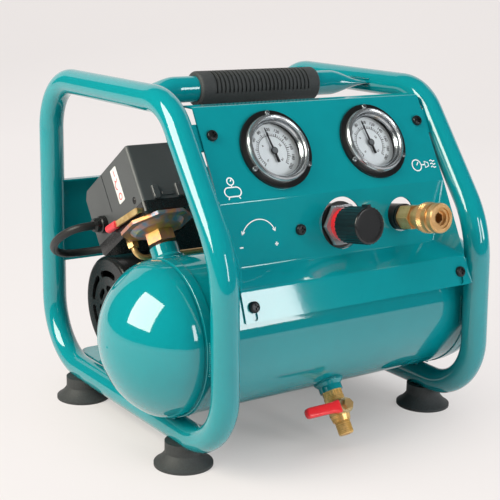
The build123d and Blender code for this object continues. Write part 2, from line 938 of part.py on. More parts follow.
def regulator_bracket():
    # lug behind the panel: one screw at its left, the regulator's neck at its right
    eye = Circle(regulator_bracket_d / 2)
    tail = Pos(-bracket_screw_x, 0) * Circle(screw_head_d)
    outline = make_hull(eye.edges() + tail.edges())
    plate = extrude(outline, regulator_bracket_thick)
    plate -= Cylinder(regulator_neck_d / 2 + weld_gap, through)
    plate -= Pos(-bracket_screw_x, 0, 0) * Cylinder(screw_d / 2 + weld_gap, through)
    return regulator_at * Pos(0, 0, bracket_face - weld_gap - regulator_bracket_thick) * plate


def regulator_body():
    top = bracket_face - weld_gap - regulator_bracket_thick
    low = top - regulator_body_depth
    body = Pos(0, 0, low) * rod(regulator_body_d, regulator_body_depth)
    body = fillet(body.edges().group_by(Axis.Z)[0], regulator_base_r)
    body += Pos(0, 0, top) * rod(regulator_neck_d, lock_band_top - regulator_neck_short - top)
    body -= Pos(0, 0, low + regulator_floor) * rod(spindle_d + 2 * shaft_gap, through)
    boss = hexagon(regulator_port_hex, 2 * regulator_port_length)
    bore = rod(outlet_pipe_d + 2 * weld_gap, through)
    for turn in (90, -90):
        port = Pos(0, 0, -regulator_port_depth) * Rot(0, turn, 0) * Pos(0, 0, regulator_body_d / 2)
        body += port * Pos(0, 0, -regulator_port_length / 2) * boss
        body -= port * bore
    return regulator_at * body


washer_z = bracket_face - weld_gap
nut_z = washer_z + regulator_washer_thick


def regulator_nut_and_washer():
    bore = regulator_neck_d + 2 * weld_gap
    washer = Pos(0, 0, washer_z) * pipe(regulator_washer_d, bore, regulator_washer_thick)
    nut = hexagon(regulator_nut, regulator_nut_height)
    rim = regulator_nut * 0.56
    crown = Cone(rim + nut_crown, rim - nut_crown, 2 * regulator_nut_height, align=base)
    nut = Pos(0, 0, nut_z) * ((nut & crown) - rod(bore, through))
    return [regulator_at * washer, regulator_at * nut]


def lock_band():
    low = nut_z + regulator_nut_height
    band = pipe(lock_band_d, regulator_neck_d + 2 * weld_gap, lock_band_top - low)
    return regulator_at * Pos(0, 0, low) * band


spindle_top = knob_face - knob_web
spindle_low = bracket_face - regulator_bracket_thick - regulator_body_depth + regulator_floor + 1


def regulator_spindle():
    return regulator_at * Pos(0, 0, spindle_low) * rod(spindle_d, spindle_top - spindle_low)


def regulator_knob():
    # ribbed cap that turns the spindle and slides on it to lock
    height = knob_face - knob_skirt
    knob = fillet(rod(knob_d - knob_rib_d * 0.6, height).edges().group_by(Axis.Z)[-1], knob_edge_r)
    rib = rod(knob_rib_d, height - knob_rib_short)
    knob += [spot * rib for spot in PolarLocations((knob_d - knob_rib_d) / 2, knob_ribs)]
    knob += Pos(0, knob_d / 2, height - knob_tab[2]) * Box(*knob_tab, align=base)
    knob -= Pos(0, 0, height - knob_sink) * rod(knob_d - 2 * knob_land, through)
    knob = Pos(0, 0, knob_skirt) * knob
    knob -= rod(lock_band_d + 2 * run_gap, lock_band_top + knob_push + run_gap)
    knob -= rod(spindle_d + 2 * shaft_gap, spindle_top + knob_push + run_gap)
    return regulator_at * knob


def coupler_adaptor():
    # bulkhead elbow: the outlet pipe enters at its left, the coupler screws into its front
    front = adaptor_front
    body = Pos(0, 0, -adaptor_back) * rod(adaptor_d, adaptor_back + front)
    step = pipe(2 * adaptor_d, adaptor_d - 2 * adaptor_step, adaptor_step)
    body -= Pos(0, 0, front - 2 * adaptor_step) * step
    body -= Pos(0, 0, adaptor_floor - adaptor_back) * rod(coupler_spigot_d, through)
    port = Pos(0, 0, -regulator_port_depth) * Rot(0, -90, 0)
    body -= port * rod(outlet_pipe_d + 2 * weld_gap, through)
    return coupler_at * body


def outlet_pipe():
    start = (regulator_at * Pos(regulator_body_d / 2, 0, -regulator_port_depth)).position
    level = (coupler_at * Pos(0, 0, -regulator_port_depth)).position
    end = Vector(coupler_x - adaptor_d / 2 + outlet_pipe_in, level.Y, level.Z)
    along = end - start
    bore = outlet_pipe_d - 2 * outlet_pipe_wall
    return Plane(origin=start, z_dir=along).location * pipe(outlet_pipe_d, bore, along.length)


def coupler_body():
    low = adaptor_front
    high = coupler_hex_top
    corner = coupler_hex * 0.59
    hexed = hexagon(coupler_hex, high - low)
    hexed = hexed & chamfer(rod(2 * corner, high - low).edges(), coupler_hex_chamfer)
    end = coupler_reach - coupler_lip
    body = Pos(0, 0, low) * hexed
    spigot = rod(coupler_spigot_d - 2 * weld_gap, coupler_spigot_length)
    body += Pos(0, 0, low - coupler_spigot_length) * spigot
    body += Pos(0, 0, high) * rod(coupler_body_d, end - high)
    body -= Pos(0, 0, end - coupler_bore_depth) * rod(coupler_bore_d, through)
    body -= Cylinder(coupler_flow_d / 2, through)
    return coupler_at * body


def coupler_sleeve():
    r = coupler_sleeve_d / 2
    low = coupler_sleeve_start
    high = coupler_reach
    profile = turned(
        (0, low),
        (r - 2.4, low),
        (r - 1.0, low + 1.6),
        (r - 1.0, low + 5.0),
        (r, low + 6.4),
        (r, high - 8.4),
        (r - 1.3, high - 7.8),
        (r - 1.3, high - 6.2),
        (r, high - 5.6),
        (r, high - 1.2),
        (r - 0.8, high),
        (0, high),
    )
    return coupler_at * (profile - rod(coupler_body_d + 2 * shaft_gap, through))


def check_valve():
    body = Pos(0, 0, 1) * rod(bung_thread_d - 2 * weld_gap, small_bung_height)
    body += Pos(0, 0, small_bung_height) * hexagon(fitting_hex, fitting_length * 0.55)
    body += Pos(0, 0, small_bung_height) * rod(fitting_hex * 0.75, fitting_length)
    body -= Pos(0, 0, small_bung_height + fitting_length - 8) * rod(discharge_d + 2 * weld_gap, 9)
    return check_at * body


safety_top = small_bung_height + fitting_length


def safety_valve_body():
    body = Pos(0, 0, 1) * rod(bung_thread_d - 2 * weld_gap, small_bung_height)
    body += Pos(0, 0, small_bung_height) * hexagon(fitting_hex, fitting_length * 0.4)
    body += Pos(0, 0, small_bung_height) * rod(fitting_hex * 0.8, fitting_length)
    body -= Pos(0, 0, small_bung_height + 4) * rod(safety_stem_d + 2 * shaft_gap, fitting_length)
    return safety_at * body


def safety_valve_stem():
    stem = Pos(0, 0, small_bung_height + 5) * rod(safety_stem_d, fitting_length - 1)
    ring_z = safety_top + 3 + safety_ring_d / 2
    ring = Pos(0, 0, ring_z) * Rot(90, 0, 0) * Torus(safety_ring_d / 2 - safety_wire_d / 2, safety_wire_d / 2)
    return safety_at * (stem + ring)


def air_tubes():
    # supply elbow from the tank to the regulator, and a small tube to each gauge
    foot = (outlet_at * Pos(0, 0, 1)).position
    supply_r = outlet_pipe_d / 2
    port = supply_port
    corner = Vector(outlet_bung_x, port.Y, port.Z)
    supply = bent_tube(outlet_pipe_d, 9, foot, corner, port)
    tubes = [supply]
    for side in (-1, 1):
        stem = gauge_place(side) * Pos(0, 0, -gauge_case_depth - gauge_stem_length)
        start = stem.position
        out = (stem * Pos(0, 0, -12)).position
        target = corner + Vector(supply_r, 6, 0)
        if side > 0:
            target = Vector(0.55 * coupler_x, port.Y, port.Z) + Vector(0, 6, 0)
        knee = Vector(target.X, target.Y + 36, target.Z + 4)
        small = bent_tube(gauge_tube_d, 6, start, out, knee, target - Vector(0, 5, 0))
        tubes.append(small - (supply if side < 0 else outlet_pipe_blank()))
    return [tubes[0]] + [largest(tube) for tube in tubes[1:]]


def outlet_pipe_blank():
    start = (regulator_at * Pos(0, 0, -regulator_port_depth)).position
    return Pos(start.X, start.Y, start.Z) * Rot(0, 90, 0) * rod(outlet_pipe_d + 2 * weld_gap, coupler_x)


def switch_box(low, high, inset=0.0):
    width = switch_left + switch_right - 2 * inset
    depth = switch_front + switch_rear - 2 * inset
    centre = ((switch_right - switch_left) / 2, (switch_rear - switch_front) / 2, low)
    return Pos(*centre) * Box(width, depth, high - low, align=base)


def switch_base():
    tray = switch_box(switch_floor, switch_split)
    tray = fillet(tray.edges().filter_by(Axis.Z), switch_corner_r)
    tray = chamfer(tray.edges().group_by(Axis.Z)[0], switch_base_chamfer)
    tray -= switch_box(switch_floor + switch_base_floor, switch_top, 2 * switch_wall)
    boss = Pos(-switch_left, switch_lever_back, switch_lever_up) * Rot(0, 90, 0)
    tray += boss * rod(switch_boss_d, switch_boss_length)
    tray -= boss * Cylinder(switch_pin_d / 2 + shaft_gap, 2 * (switch_pin_length + run_gap))
    return switch_at * tray


def switch_cover():
    lid = switch_box(switch_split + weld_gap, switch_top)
    rear_top = lid.edges().filter_by(Axis.X).sort_by(Axis.Z)[-2:].sort_by(Axis.Y)[-1]
    lid = chamfer(rear_top, switch_chamfer)
    lid = fillet(lid.edges().filter_by(Axis.Z), switch_corner_r - 1)
    lid = fillet(lid.edges().group_by(Axis.Z)[-1], switch_edge_r)
    lid -= switch_box(switch_floor, switch_top - switch_wall - switch_chamfer, switch_wall)
    # groove across the lid where its rear part begins
    deep, wide = lid_groove
    lid -= Pos(0, switch_front, switch_top) * Box(2 * through, wide, deep)
    lid -= Pos(-switch_left, switch_front, switch_top) * Box(deep, wide, 2 * lid_groove_drop)
    # screw recess low on the left side and cable holes
    sink = Cylinder(cover_screw_d / 2, 2 * cover_screw_sink)
    lid -= Pos(-switch_left, -cover_screw_in, cover_screw_up) * Rot(0, 90, 0) * sink
    for place in gland_places():
        lid -= place * Cylinder(gland_spigot_d / 2 + weld_gap, 4 * gland_spigot)
    return switch_at * lid


def gland_places():
    left = Pos(-switch_left, gland_back, gland_up) * Rot(0, -90, 0)
    rear = Pos(mains_gland_x, switch_rear, mains_gland_up) * Rot(-90, 0, 0)
    return [left, rear]


def cover_gland_place():
    z = motor_z + motor_r + cover_gland_up
    return Plane(origin=(cover_left, motor_y, z), x_dir=(0, 1, 0), z_dir=(-1, 0, 0)).location


def cable_gland():
    # domed nut on a spigot, bored for the lead
    r = gland_d / 2
    neck = r * 0.82
    tip = r * 0.67
    dome = turned(
        (0, 0),
        (r, 0),
        (r, gland_collar),
        (neck, gland_collar + 0.7),
        (neck, gland_length - 2),
        (tip, gland_length),
        (0, gland_length),
    )
    dome += Pos(0, 0, -gland_spigot) * rod(gland_spigot_d, gland_spigot + 1)
    return dome - Cylinder(lead_d / 2 + weld_gap, through)


def cable_glands():
    glands = [switch_at * place * cable_gland() for place in gland_places()]
    return glands + [cover_gland_place() * cable_gland()]


def switch_diaphragm():
    # plated bell with an eight-sided flange, its nut below
    r = diaphragm_d / 2
    low = switch_nut_top
    flange_z = switch_floor - diaphragm_flange_thick
    bell = turned((0, low), (r * 0.55, low), (r * 0.85, low + 2.5), (r, flange_z), (0, flange_z))
    plate = RegularPolygon(diaphragm_flange / 2, 8, major_radius=False, rotation=22.5)
    flange = extrude(plate, diaphragm_flange_thick)
    flange = fillet(flange.edges().filter_by(Axis.Z), diaphragm_corner_r)
    bell += Pos(0, 0, flange_z) * flange
    neck = Pos(0, 0, 1) * rod(bung_thread_d - 2 * weld_gap, bung_height + 4)
    nut_low = bung_height + 3
    nut = Pos(0, 0, nut_low) * hexagon(switch_nut, switch_nut_top - nut_low)
    return switch_at * (bell + nut + neck)


def switch_lever():
    angle = degrees(asin(switch_lever_rise / switch_lever_length))
    blank = extrude(SlotOverall(switch_lever_length, switch_lever_width), switch_lever_thick)
    blank = Pos(switch_lever_length / 2 - switch_lever_width / 2, 0, 0) * blank
    tip_start = switch_lever_length - switch_tip_length - switch_tip_end
    tip = Pos(tip_start, 0, switch_lever_thick / 2) * Rot(0, 90, 0) * rod(switch_tip_d, switch_tip_length)
    blank += fillet(tip.edges(), 1.5)
    pin_length = switch_pin_length + switch_lever_gap
    blank += Pos(0, 0, -pin_length) * rod(switch_pin_d, pin_length)
    # local x of the lever runs rearward along the box's left side
    side = Plane(
        origin=(-switch_left - switch_lever_gap, switch_lever_back, switch_lever_up),
        x_dir=(0, cos(radians(angle)), sin(radians(angle))),
        z_dir=(-1, 0, 0),
    )
    return switch_at * side.location * blank


def motor_lead_points():
    start = (switch_at * gland_places()[0] * Pos(0, 0, 2)).position
    straight = (switch_at * gland_places()[0] * Pos(0, 0, 2 + lead_straight)).position
    end = (cover_gland_place() * Pos(0, 0, 2)).position
    before = (cover_gland_place() * Pos(0, 0, 2 + lead_straight)).position
    return [start, straight, *[Vector(*point) for point in lead_middle], before, end]


def motor_lead():
    points = motor_lead_points()
    radii = []
    for before, here, after in zip(points, points[1:], points[2:]):
        run = min((here - before).length, (after - here).length)
        turn = (here - before).get_angle(after - here)
        radii.append(lead_round * run / tan(radians(turn / 2)))
    return bent_tube(lead_d, radii, *points)


def motor_bolt_spots():
    middle = Pos((motor_right + motor_left) / 2, motor_y, plate_top + weld_gap)
    return [middle * spot for spot in GridLocations(2 * motor_foot_x, 2 * motor_bolt_reach, 2, 2)]


def motor_bolt_holes():
    length = 2 * (motor_flange_thick + plate_thick)
    return [spot * Cylinder(motor_bolt_d / 2 + weld_gap, length) for spot in motor_bolt_spots()]


def motor_bolts():
    grip = motor_flange_thick + plate_thick + motor_bolt_d
    bolt = hexagon(motor_bolt_d * 1.7, motor_bolt_d * 0.7) + Pos(0, 0, -grip) * rod(motor_bolt_d, grip)
    return [spot * Pos(0, 0, motor_flange_thick) * bolt for spot in motor_bolt_spots()]


def motor_shell():
    length = motor_right - motor_left
    shell = motor_at(motor_left) * rod(motor_d, length)
    middle = (motor_right + motor_left) / 2
    for side in (-1, 1):
        place = Pos(middle + side * motor_foot_x, motor_y, plate_top + weld_gap)
        shell += place * Box(motor_foot_length, motor_foot_width, motor_foot_height, align=base)
        shell += place * Box(motor_foot_length, motor_flange_width, motor_flange_thick, align=base)
    shell -= motor_at(motor_left) * rod(motor_d - 2 * motor_wall, length)
    return shell - motor_bolt_holes()


def motor_end_cap():
    # cup over the motor's left end with two rings of arc slots
    cap = rod(motor_d, end_cap_thick)
    cap = fillet(cap.edges().group_by(Axis.Z)[-1], 4)
    cap -= rod(motor_d - 2 * end_cap_wall, end_cap_thick - end_cap_wall)
    for mid_r in cap_slot_rings:
        sweep_angle = 360 / cap_slots - 2 * degrees((cap_slot_width / 2 + 2.2) / mid_r)
        slot = extrude(SlotArc(CenterArc((0, 0), mid_r, 0, sweep_angle), cap_slot_width), 30, both=True)
        cap -= [Rot(0, 0, cap_slot_turn + 360 / cap_slots * i) * slot for i in range(cap_slots)]
    boss = Pos(0, 0, -2) * rod(shaft_d + 8, end_cap_thick - end_cap_wall + 2)
    cap += boss
    cap -= Pos(0, 0, -9) * rod(shaft_d + 2 * shaft_gap, end_cap_thick - end_cap_wall + 9)
    left = Plane(origin=(motor_left - weld_gap, motor_y, motor_z), x_dir=(0, -1, 0), z_dir=(-1, 0, 0))
    return left.location * cap


stator_left = (motor_left + motor_right) / 2 - stator_length / 2 + 8


def stator():
    core = pipe(motor_d - 2 * motor_wall - 2 * weld_gap, stator_bore_d, stator_length)
    return motor_at(stator_left) * core


shaft_left = motor_left - end_cap_thick + end_cap_wall + 3


def rotor_shaft():
    spin = rod(shaft_d, crank_disc_left - shaft_left)
    rotor_d = stator_bore_d - 2 * rotor_gap
    spin += Pos(0, 0, stator_left - shaft_left) * rod(rotor_d, stator_length)
    return motor_at(shaft_left) * spin


def cooling_fan():
    hub = pipe(shaft_d + 12, shaft_d + 2 * weld_gap, fan_width)
    span = fan_d / 2 - shaft_d / 2 - 4
    blade = Pos(shaft_d / 2 + 4 + span / 2, 0, 0) * Box(span, fan_blade_thick, fan_width, align=base)
    for i in range(fan_blades):
        hub += Rot(0, 0, 360 / fan_blades * i) * blade
    hub += pipe(fan_d - 8, shaft_d + 8, 1.6)
    return motor_at(motor_left + 4) * (hub - rod(shaft_d + 2 * weld_gap, fan_width))


def capacitor_cover():
    length = cover_right - cover_left
    low = motor_z + motor_r * 0.6
    top = motor_z + motor_r + cover_height
    box = Box(length, 2 * cover_half_width, top - low, align=base)
    box = fillet(box.edges().filter_by(Axis.X).group_by(Axis.Z)[-1], cover_shoulder_r)
    box = fillet(box.edges().group_by(Axis.Z)[-1], cover_edge_r)
    box = Pos((cover_left + cover_right) / 2, motor_y, low) * box
    box -= motor_at(motor_left) * rod(motor_d + 2 * weld_gap, motor_right - motor_left)
    return box - cover_gland_place() * Cylinder(gland_spigot_d / 2 + weld_gap, 4 * gland_spigot)


def crankcase():
    # end plate on the motor and an open housing under the cylinder
    plate_length = 6.0
    start = motor_right + weld_gap
    case = motor_at(start) * rod(motor_d, plate_length)
    case += motor_at(start) * rod(crankcase_d, crankcase_right - start)
    pad_width = crankcase_d * 0.86
    pad = Box(pad_width, pad_width, cylinder_pad_up, align=base)
    pad = Pos(cylinder_x - 4, motor_y, motor_z) * pad
    case += pad & motor_at(start) * rod(4 * crankcase_d, crankcase_right - start)
    case -= motor_at(start + plate_length) * rod(crankcase_d - 2 * crankcase_wall, crankcase_right)
    case -= Pos(cylinder_x, motor_y, motor_z) * rod(piston_d + 2 * run_gap, 2 * cylinder_pad_up)
    case -= motor_at(start - 1) * rod(shaft_d + 2 * shaft_gap, plate_length + 2)
    bolts = [spot * rod(head_bolt_d + 2 * weld_gap, through) for spot in head_bolt_spots(pad_z - 10)]
    return case - bolts


def crank_disc():
    # counterweighted disc; its pin stops just short of the rod
    disc = Pos(0, -throw * 0.5, 0) * rod(crank_disc_d, crank_disc_right - crank_disc_left)
    disc += Pos(0, throw, 0) * rod(crank_pin_d, crank_pin_end - crank_disc_left)
    disc = fillet(disc.edges().filter_by(GeomType.CIRCLE).sort_by(SortBy.RADIUS)[-1], 1)
    return motor_at(crank_disc_left) * disc


rod_left = cylinder_x - rod_thick / 2
crank_pin_end = rod_left - run_gap


def piston_rod():
    # wobble piston: head, rod and big end in one piece, at the top of its stroke
    eye_z = motor_z + throw
    eye = rod(rod_eye_d, rod_thick)
    shank_top = piston_top - piston_height
    blade = Box(rod_blade_thick, rod_blade_width, shank_top - eye_z + 2, align=base)
    blade = Pos(cylinder_x, motor_y, eye_z) * blade
    head = Pos(cylinder_x, motor_y, shank_top) * rod(piston_d, piston_height)
    head = chamfer(head.edges().group_by(Axis.Z)[0], 2)
    big_end = Plane(origin=(rod_left, motor_y, eye_z), x_dir=(0, 1, 0), z_dir=(1, 0, 0)).location
    return big_end * eye + blade + head - big_end * rod(rod_eye_bore_d, rod_thick)


def head_bolt_spots(z):
    reach = head_width - 2 * head_bolt_inset
    return [Pos(cylinder_x, motor_y, z) * spot for spot in GridLocations(reach, reach, 2, 2)]


def cylinder():
    barrel = rod(cylinder_d, cylinder_height)
    pitch = cylinder_height / cylinder_fins
    plate = Box(head_width, head_width, fin_thick, align=base)
    for i in range(cylinder_fins):
        barrel += Pos(0, 0, pitch * i) * (rod(cylinder_fin_d, fin_thick) if i else plate)
    barrel += Pos(0, 0, cylinder_height - fin_thick) * plate
    barrel -= rod(piston_d + 2 * shaft_gap, cylinder_height)
    barrel = Pos(cylinder_x, motor_y, pad_z) * barrel
    return barrel - [spot * rod(head_bolt_d + 2 * weld_gap, through) for spot in head_bolt_spots(pad_z - 1)]


def cylinder_head():
    head = Box(head_width, head_width, head_height, align=base)
    head = fillet(head.edges().filter_by(Axis.Z), 5)
    pitch = head_width / head_fins
    gap = pitch - fin_thick
    slots = [
        Pos(-head_width / 2 + pitch * (i + 0.5), 0, head_height - head_fin_depth)
        * Box(gap, head_width - 4 * head_bolt_inset, head_fin_depth + 1, align=base)
        for i in range(head_fins)
    ]
    head = Pos(cylinder_x, motor_y, head_z) * (head - slots)
    head -= [spot * rod(head_bolt_d + 2 * weld_gap, through) for spot in head_bolt_spots(head_z - 1)]
    head -= discharge_port() * Pos(0, 0, -8) * rod(discharge_d + 2 * weld_gap, 9)
    return head - filter_port() * Pos(0, 0, -8) * rod(filter_neck_d - 4 + 2 * weld_gap, 9)


def port_z():
    return head_z + (head_height - head_fin_depth) / 2


def discharge_port():
    return at((cylinder_x, motor_y - head_width / 2, port_z()), (0, -1, 0))


def filter_port():
    origin = (cylinder_x + head_width / 2, motor_y, port_z())
    return Plane(origin=origin, x_dir=(0, 1, 0), z_dir=(1, 0, 0)).location


def head_bolts():
    grip = head_height + cylinder_height + 9
    bolt = hexagon(head_bolt_d * 1.6, head_bolt_d * 0.65) + Pos(0, 0, -grip) * rod(head_bolt_d, grip)
    return [spot * bolt for spot in head_bolt_spots(head_z + head_height)]


def intake_filter():
    neck = rod(filter_neck_d, filter_neck_length) + Pos(0, 0, -7) * rod(filter_neck_d - 4, 8)
    can = Pos(0, 0, filter_neck_length) * rod(filter_d, filter_length)
    can = fillet(can.edges(), filter_edge_r)
    slot = Box(*filter_slot, filter_length / 2, align=base)
    slot = Pos(filter_d / 2, 0, filter_neck_length + filter_length / 4) * slot
    can -= [Rot(0, 0, 360 / filter_slots * i) * slot for i in range(filter_slots)]
    return filter_port() * (can + neck)


def discharge_tube():
    top = small_bung_height + fitting_length
    start = (check_at * Pos(0, 0, top - discharge_seat)).position
    rise = (check_at * Pos(0, 0, top + discharge_rise)).position
    end = (discharge_port() * Pos(0, 0, -discharge_seat)).position
    out = (discharge_port() * Pos(0, 0, discharge_run)).position
    over = Vector((rise.X + out.X) / 2, out.Y - discharge_sag, rise.Z)
    return bent_tube(discharge_d, discharge_bend_r, start, rise, over, out, end)


def unloader_tube():
    # from the switch's underside along the tank to the side of the check valve
    port = switch_at * Pos(unloader_right, unloader_back, switch_floor - weld_gap)
    knee = (port * Pos(0, 0, -unloader_drop)).position
    valve = check_at * Pos(0, 0, small_bung_height + fitting_hex * 0.4)
    end = (valve * Pos(0, fitting_hex * 0.4, 0)).position
    aim = (valve * Pos(0, 2 * fitting_hex, 0)).position - end
    before = end + aim * ((knee.Y - end.Y) / aim.Y)
    tube = bent_tube(unloader_d, unloader_bend_r, port.position, knee, before, end) - check_valve()
    nut = port * Pos(0, 0, -unloader_nut_height) * hexagon(unloader_nut, unloader_nut_height)
    return largest(tube) + nut


nodes = {
    "left_hoop": frame_hoop(-1),
    "right_hoop": frame_hoop(1),
    "handle_bar": handle_bar(),
    "handle_grip": handle_grip(),
    "front_panel": front_panel(),
    "panel_tabs": panel_tabs(),
    "panel_screws": panel_screws() + gauge_screws(),
    "back_panel": back_panel(),
    "base_plate": base_plate(),
    "foot_front_left": foot(-1, front_foot_y),
    "foot_front_right": foot(1, front_foot_y),
    "foot_rear_left": foot(-1, rear_foot_y),
    "foot_rear_right": foot(1, rear_foot_y),
    "tank_shell": tank_shell(),
    "tank_left_dome": tank_dome(-1),
    "tank_right_dome": tank_dome(1),
    "tank_bungs": tank_bungs(),
    "tank_mounts": tank_mounts(),
    "drain_valve_body": drain_valve_body(),
    "drain_ball": [drain_ball(), drain_nut_on_stem()],
    "drain_lever": drain_lever(),
    "regulator_bracket": regulator_bracket(),
    "regulator_body": regulator_body(),
    "regulator_nut": regulator_nut_and_washer(),
    "regulator_lock_band": lock_band(),
    "regulator_spindle": regulator_spindle(),
    "regulator_knob": regulator_knob(),
    "coupler_adaptor": coupler_adaptor(),
    "coupler_body": coupler_body(),
    "coupler_sleeve": coupler_sleeve(),
    "air_tubes": [*air_tubes(), outlet_pipe(), unloader_tube()],
    "check_valve": check_valve(),
    "safety_valve_body": safety_valve_body(),
    "safety_valve_stem": safety_valve_stem(),
    "switch_base": switch_base(),
    "switch_cover": switch_cover(),
    "switch_diaphragm": switch_diaphragm(),
    "switch_lever": switch_lever(),
    "cable_glands": cable_glands(),
    "motor_lead": motor_lead(),
    "motor_shell": motor_shell(),
    "motor_end_cap": motor_end_cap(),
    "stator": stator(),
    "rotor_shaft": rotor_shaft(),
    "cooling_fan": cooling_fan(),
    "capacitor_cover": capacitor_cover(),
    "crankcase": crankcase(),
    "crank_disc": crank_disc(),
    "piston_rod": piston_rod(),
    "cylinder": cylinder(),
    "cylinder_head": cylinder_head(),
    "hex_bolts": motor_bolts() + head_bolts(),
    "intake_filter": intake_filter(),
    "discharge_tube": discharge_tube(),
}
gauges = [gauge_place(side) for side in (-1, 1)]
nodes["gauge_cases"] = [place * gauge_case() for place in gauges]
nodes["gauge_bezels"] = [place * gauge_bezel() for place in gauges]
nodes["gauge_dials"] = [place * gauge_dial() for place in gauges]
nodes["gauge_lenses"] = [place * gauge_lens() for place in gauges]
nodes["tank_gauge_needle"] = gauges[0] * gauge_needle()
nodes["outlet_gauge_needle"] = gauges[1] * gauge_needle()

os.makedirs("parts", exist_ok=True)
for name, shape in nodes.items():
    solids = shape if isinstance(shape, list) else [shape]
    pieces = [solid for part in solids for solid in part.solids()]
    export_step(Compound(children=pieces), f"parts/{name}.step")
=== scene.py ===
import math

import bmesh
import bpy
from mathutils import Matrix, Vector


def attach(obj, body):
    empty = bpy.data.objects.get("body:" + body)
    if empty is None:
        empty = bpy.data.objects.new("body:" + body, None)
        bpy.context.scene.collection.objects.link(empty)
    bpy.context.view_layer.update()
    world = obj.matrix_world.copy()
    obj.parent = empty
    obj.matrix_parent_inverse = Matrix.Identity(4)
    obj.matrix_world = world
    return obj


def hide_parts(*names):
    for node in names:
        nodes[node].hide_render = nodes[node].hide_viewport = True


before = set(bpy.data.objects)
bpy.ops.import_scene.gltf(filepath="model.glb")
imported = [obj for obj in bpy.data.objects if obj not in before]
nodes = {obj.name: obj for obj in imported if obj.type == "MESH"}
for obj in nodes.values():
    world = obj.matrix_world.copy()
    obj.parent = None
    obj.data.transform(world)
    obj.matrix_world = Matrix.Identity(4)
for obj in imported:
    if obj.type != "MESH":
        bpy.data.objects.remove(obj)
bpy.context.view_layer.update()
mm = 0.001
print("frame loaded:", len(nodes), "nodes")


class Wire:
    # one socket of a node tree, so that sums on it read as Python
    def __init__(self, tree, socket=None):
        self.tree = tree
        self.socket = socket

    def pick(self, sockets, key):
        if isinstance(key, int):
            return sockets[key]
        for socket in sockets:
            if socket.identifier == key:
                return socket
        for socket in sockets:
            if socket.name == key and socket.enabled:
                return socket
        raise KeyError(f"{sockets[0].node.bl_idname} has no socket {key}")

    def node(self, kind, settings=None, sockets=None, out=0):
        made = self.tree.nodes.new(kind)
        for name, value in (settings or {}).items():
            if name == "stops":
                ramp = made.color_ramp
                while len(ramp.elements) < len(value):
                    ramp.elements.new(0.5)
                for element, (spot, tint) in zip(ramp.elements, value):
                    element.position = spot
                    element.color = colour(tint)
            else:
                setattr(made, name, value)
        for key, value in (sockets or {}).items():
            target = self.pick(made.inputs, key)
            if isinstance(value, Wire):
                self.tree.links.new(value.socket, target)
            else:
                target.default_value = value
        return Wire(self.tree, self.pick(made.outputs, out) if len(made.outputs) else None)

    def other(self, out):
        # another output of the same node
        return Wire(self.tree, self.pick(self.socket.node.outputs, out))

    def sum(self, operation, first, second=0.0):
        return self.node("ShaderNodeMath", {"operation": operation}, {0: first, 1: second})

    def __add__(self, other):
        return self.sum("ADD", self, other)

    def __radd__(self, other):
        return self.sum("ADD", other, self)

    def __sub__(self, other):
        return self.sum("SUBTRACT", self, other)

    def __rsub__(self, other):
        return self.sum("SUBTRACT", other, self)

    def __mul__(self, other):
        return self.sum("MULTIPLY", self, other)

    def __truediv__(self, other):
        return self.sum("DIVIDE", self, other)

    def above(self, other):
        return self.sum("GREATER_THAN", self, other)

    def below(self, other):
        return self.sum("LESS_THAN", self, other)

    def most(self, other):
        return self.sum("MAXIMUM", self, other)

    def sine(self):
        return self.sum("SINE", self)

    def cosine(self):
        return self.sum("COSINE", self)

    def smooth(self, low, high):
        settings = {"interpolation_type": "SMOOTHSTEP", "clamp": True}
        return self.node("ShaderNodeMapRange", settings, {"Value": self, "From Min": low, "From Max": high})

    def blend(self, first, second):
        # self is the factor between two colours
        sockets = {"Factor_Float": self, "A_Color": first, "B_Color": second}
        return self.node("ShaderNodeMix", {"data_type": "RGBA"}, sockets, "Result_Color")

    def vector(self, operation, other=None, out="Vector"):
        sockets = {0: self} if other is None else {0: self, 1: other}
        return self.node("ShaderNodeVectorMath", {"operation": operation}, sockets, out)

    def dot(self, other):
        return self.vector("DOT_PRODUCT", other, "Value")

    def length(self):
        return self.vector("LENGTH", None, "Value")

    def xyz(self, x, y, z):
        return self.node("ShaderNodeCombineXYZ", sockets={0: x, 1: y, 2: z})


def colour(hexed):
    # sRGB hex to the linear values that sockets take
    parts = [int(hexed[i:i + 2], 16) / 255 for i in (1, 3, 5)]
    return tuple(p / 12.92 if p < 0.04045 else ((p + 0.055) / 1.055) ** 2.4 for p in parts) + (1.0,)


def newMaterial(name):
    material = bpy.data.materials.new(name)
    material.use_nodes = True
    tree = material.node_tree
    tree.nodes.clear()
    return material, Wire(tree)


def place(wire, centre=(0, 0, 0)):
    # Object coordinates with centre at zero
    return wire.node("ShaderNodeTexCoord", out="Object").vector("SUBTRACT", centre)


def noise(wire, where, scale, detail=2.0):
    sockets = {"Vector": where, "Scale": scale, "Detail": detail}
    return wire.node("ShaderNodeTexNoise", sockets=sockets, out="Fac")


def lines(wire, reach, scale, detail=2.0):
    # noise that changes along one measure only
    sockets = {"W": reach * scale, "Scale": 1.0, "Detail": detail}
    return wire.node("ShaderNodeTexNoise", {"noise_dimensions": "1D"}, sockets, "Fac")


def bump(wire, height, strength, distance):
    return wire.node("ShaderNodeBump", sockets={"Height": height, "Strength": strength, "Distance": distance})


def surface(material, wire, sockets):
    shader = wire.node("ShaderNodeBsdfPrincipled", sockets=sockets)
    wire.node("ShaderNodeOutputMaterial", sockets={"Surface": shader})
    return material


# places on the panel, in millimetres: the foot of each face as (y, z), and its lean in degrees
panelFaces = {
    "brow": (-110.537, 217.1, 29.7),
    "dash": (-118.528, 166.3, 8.94),
    "gauge": {"x": 50.0, "up": 40.0},
    "regulator": {"x": 0.0, "up": 24.5},
    "coupler": {"x": 63.5, "up": 24.5},
}
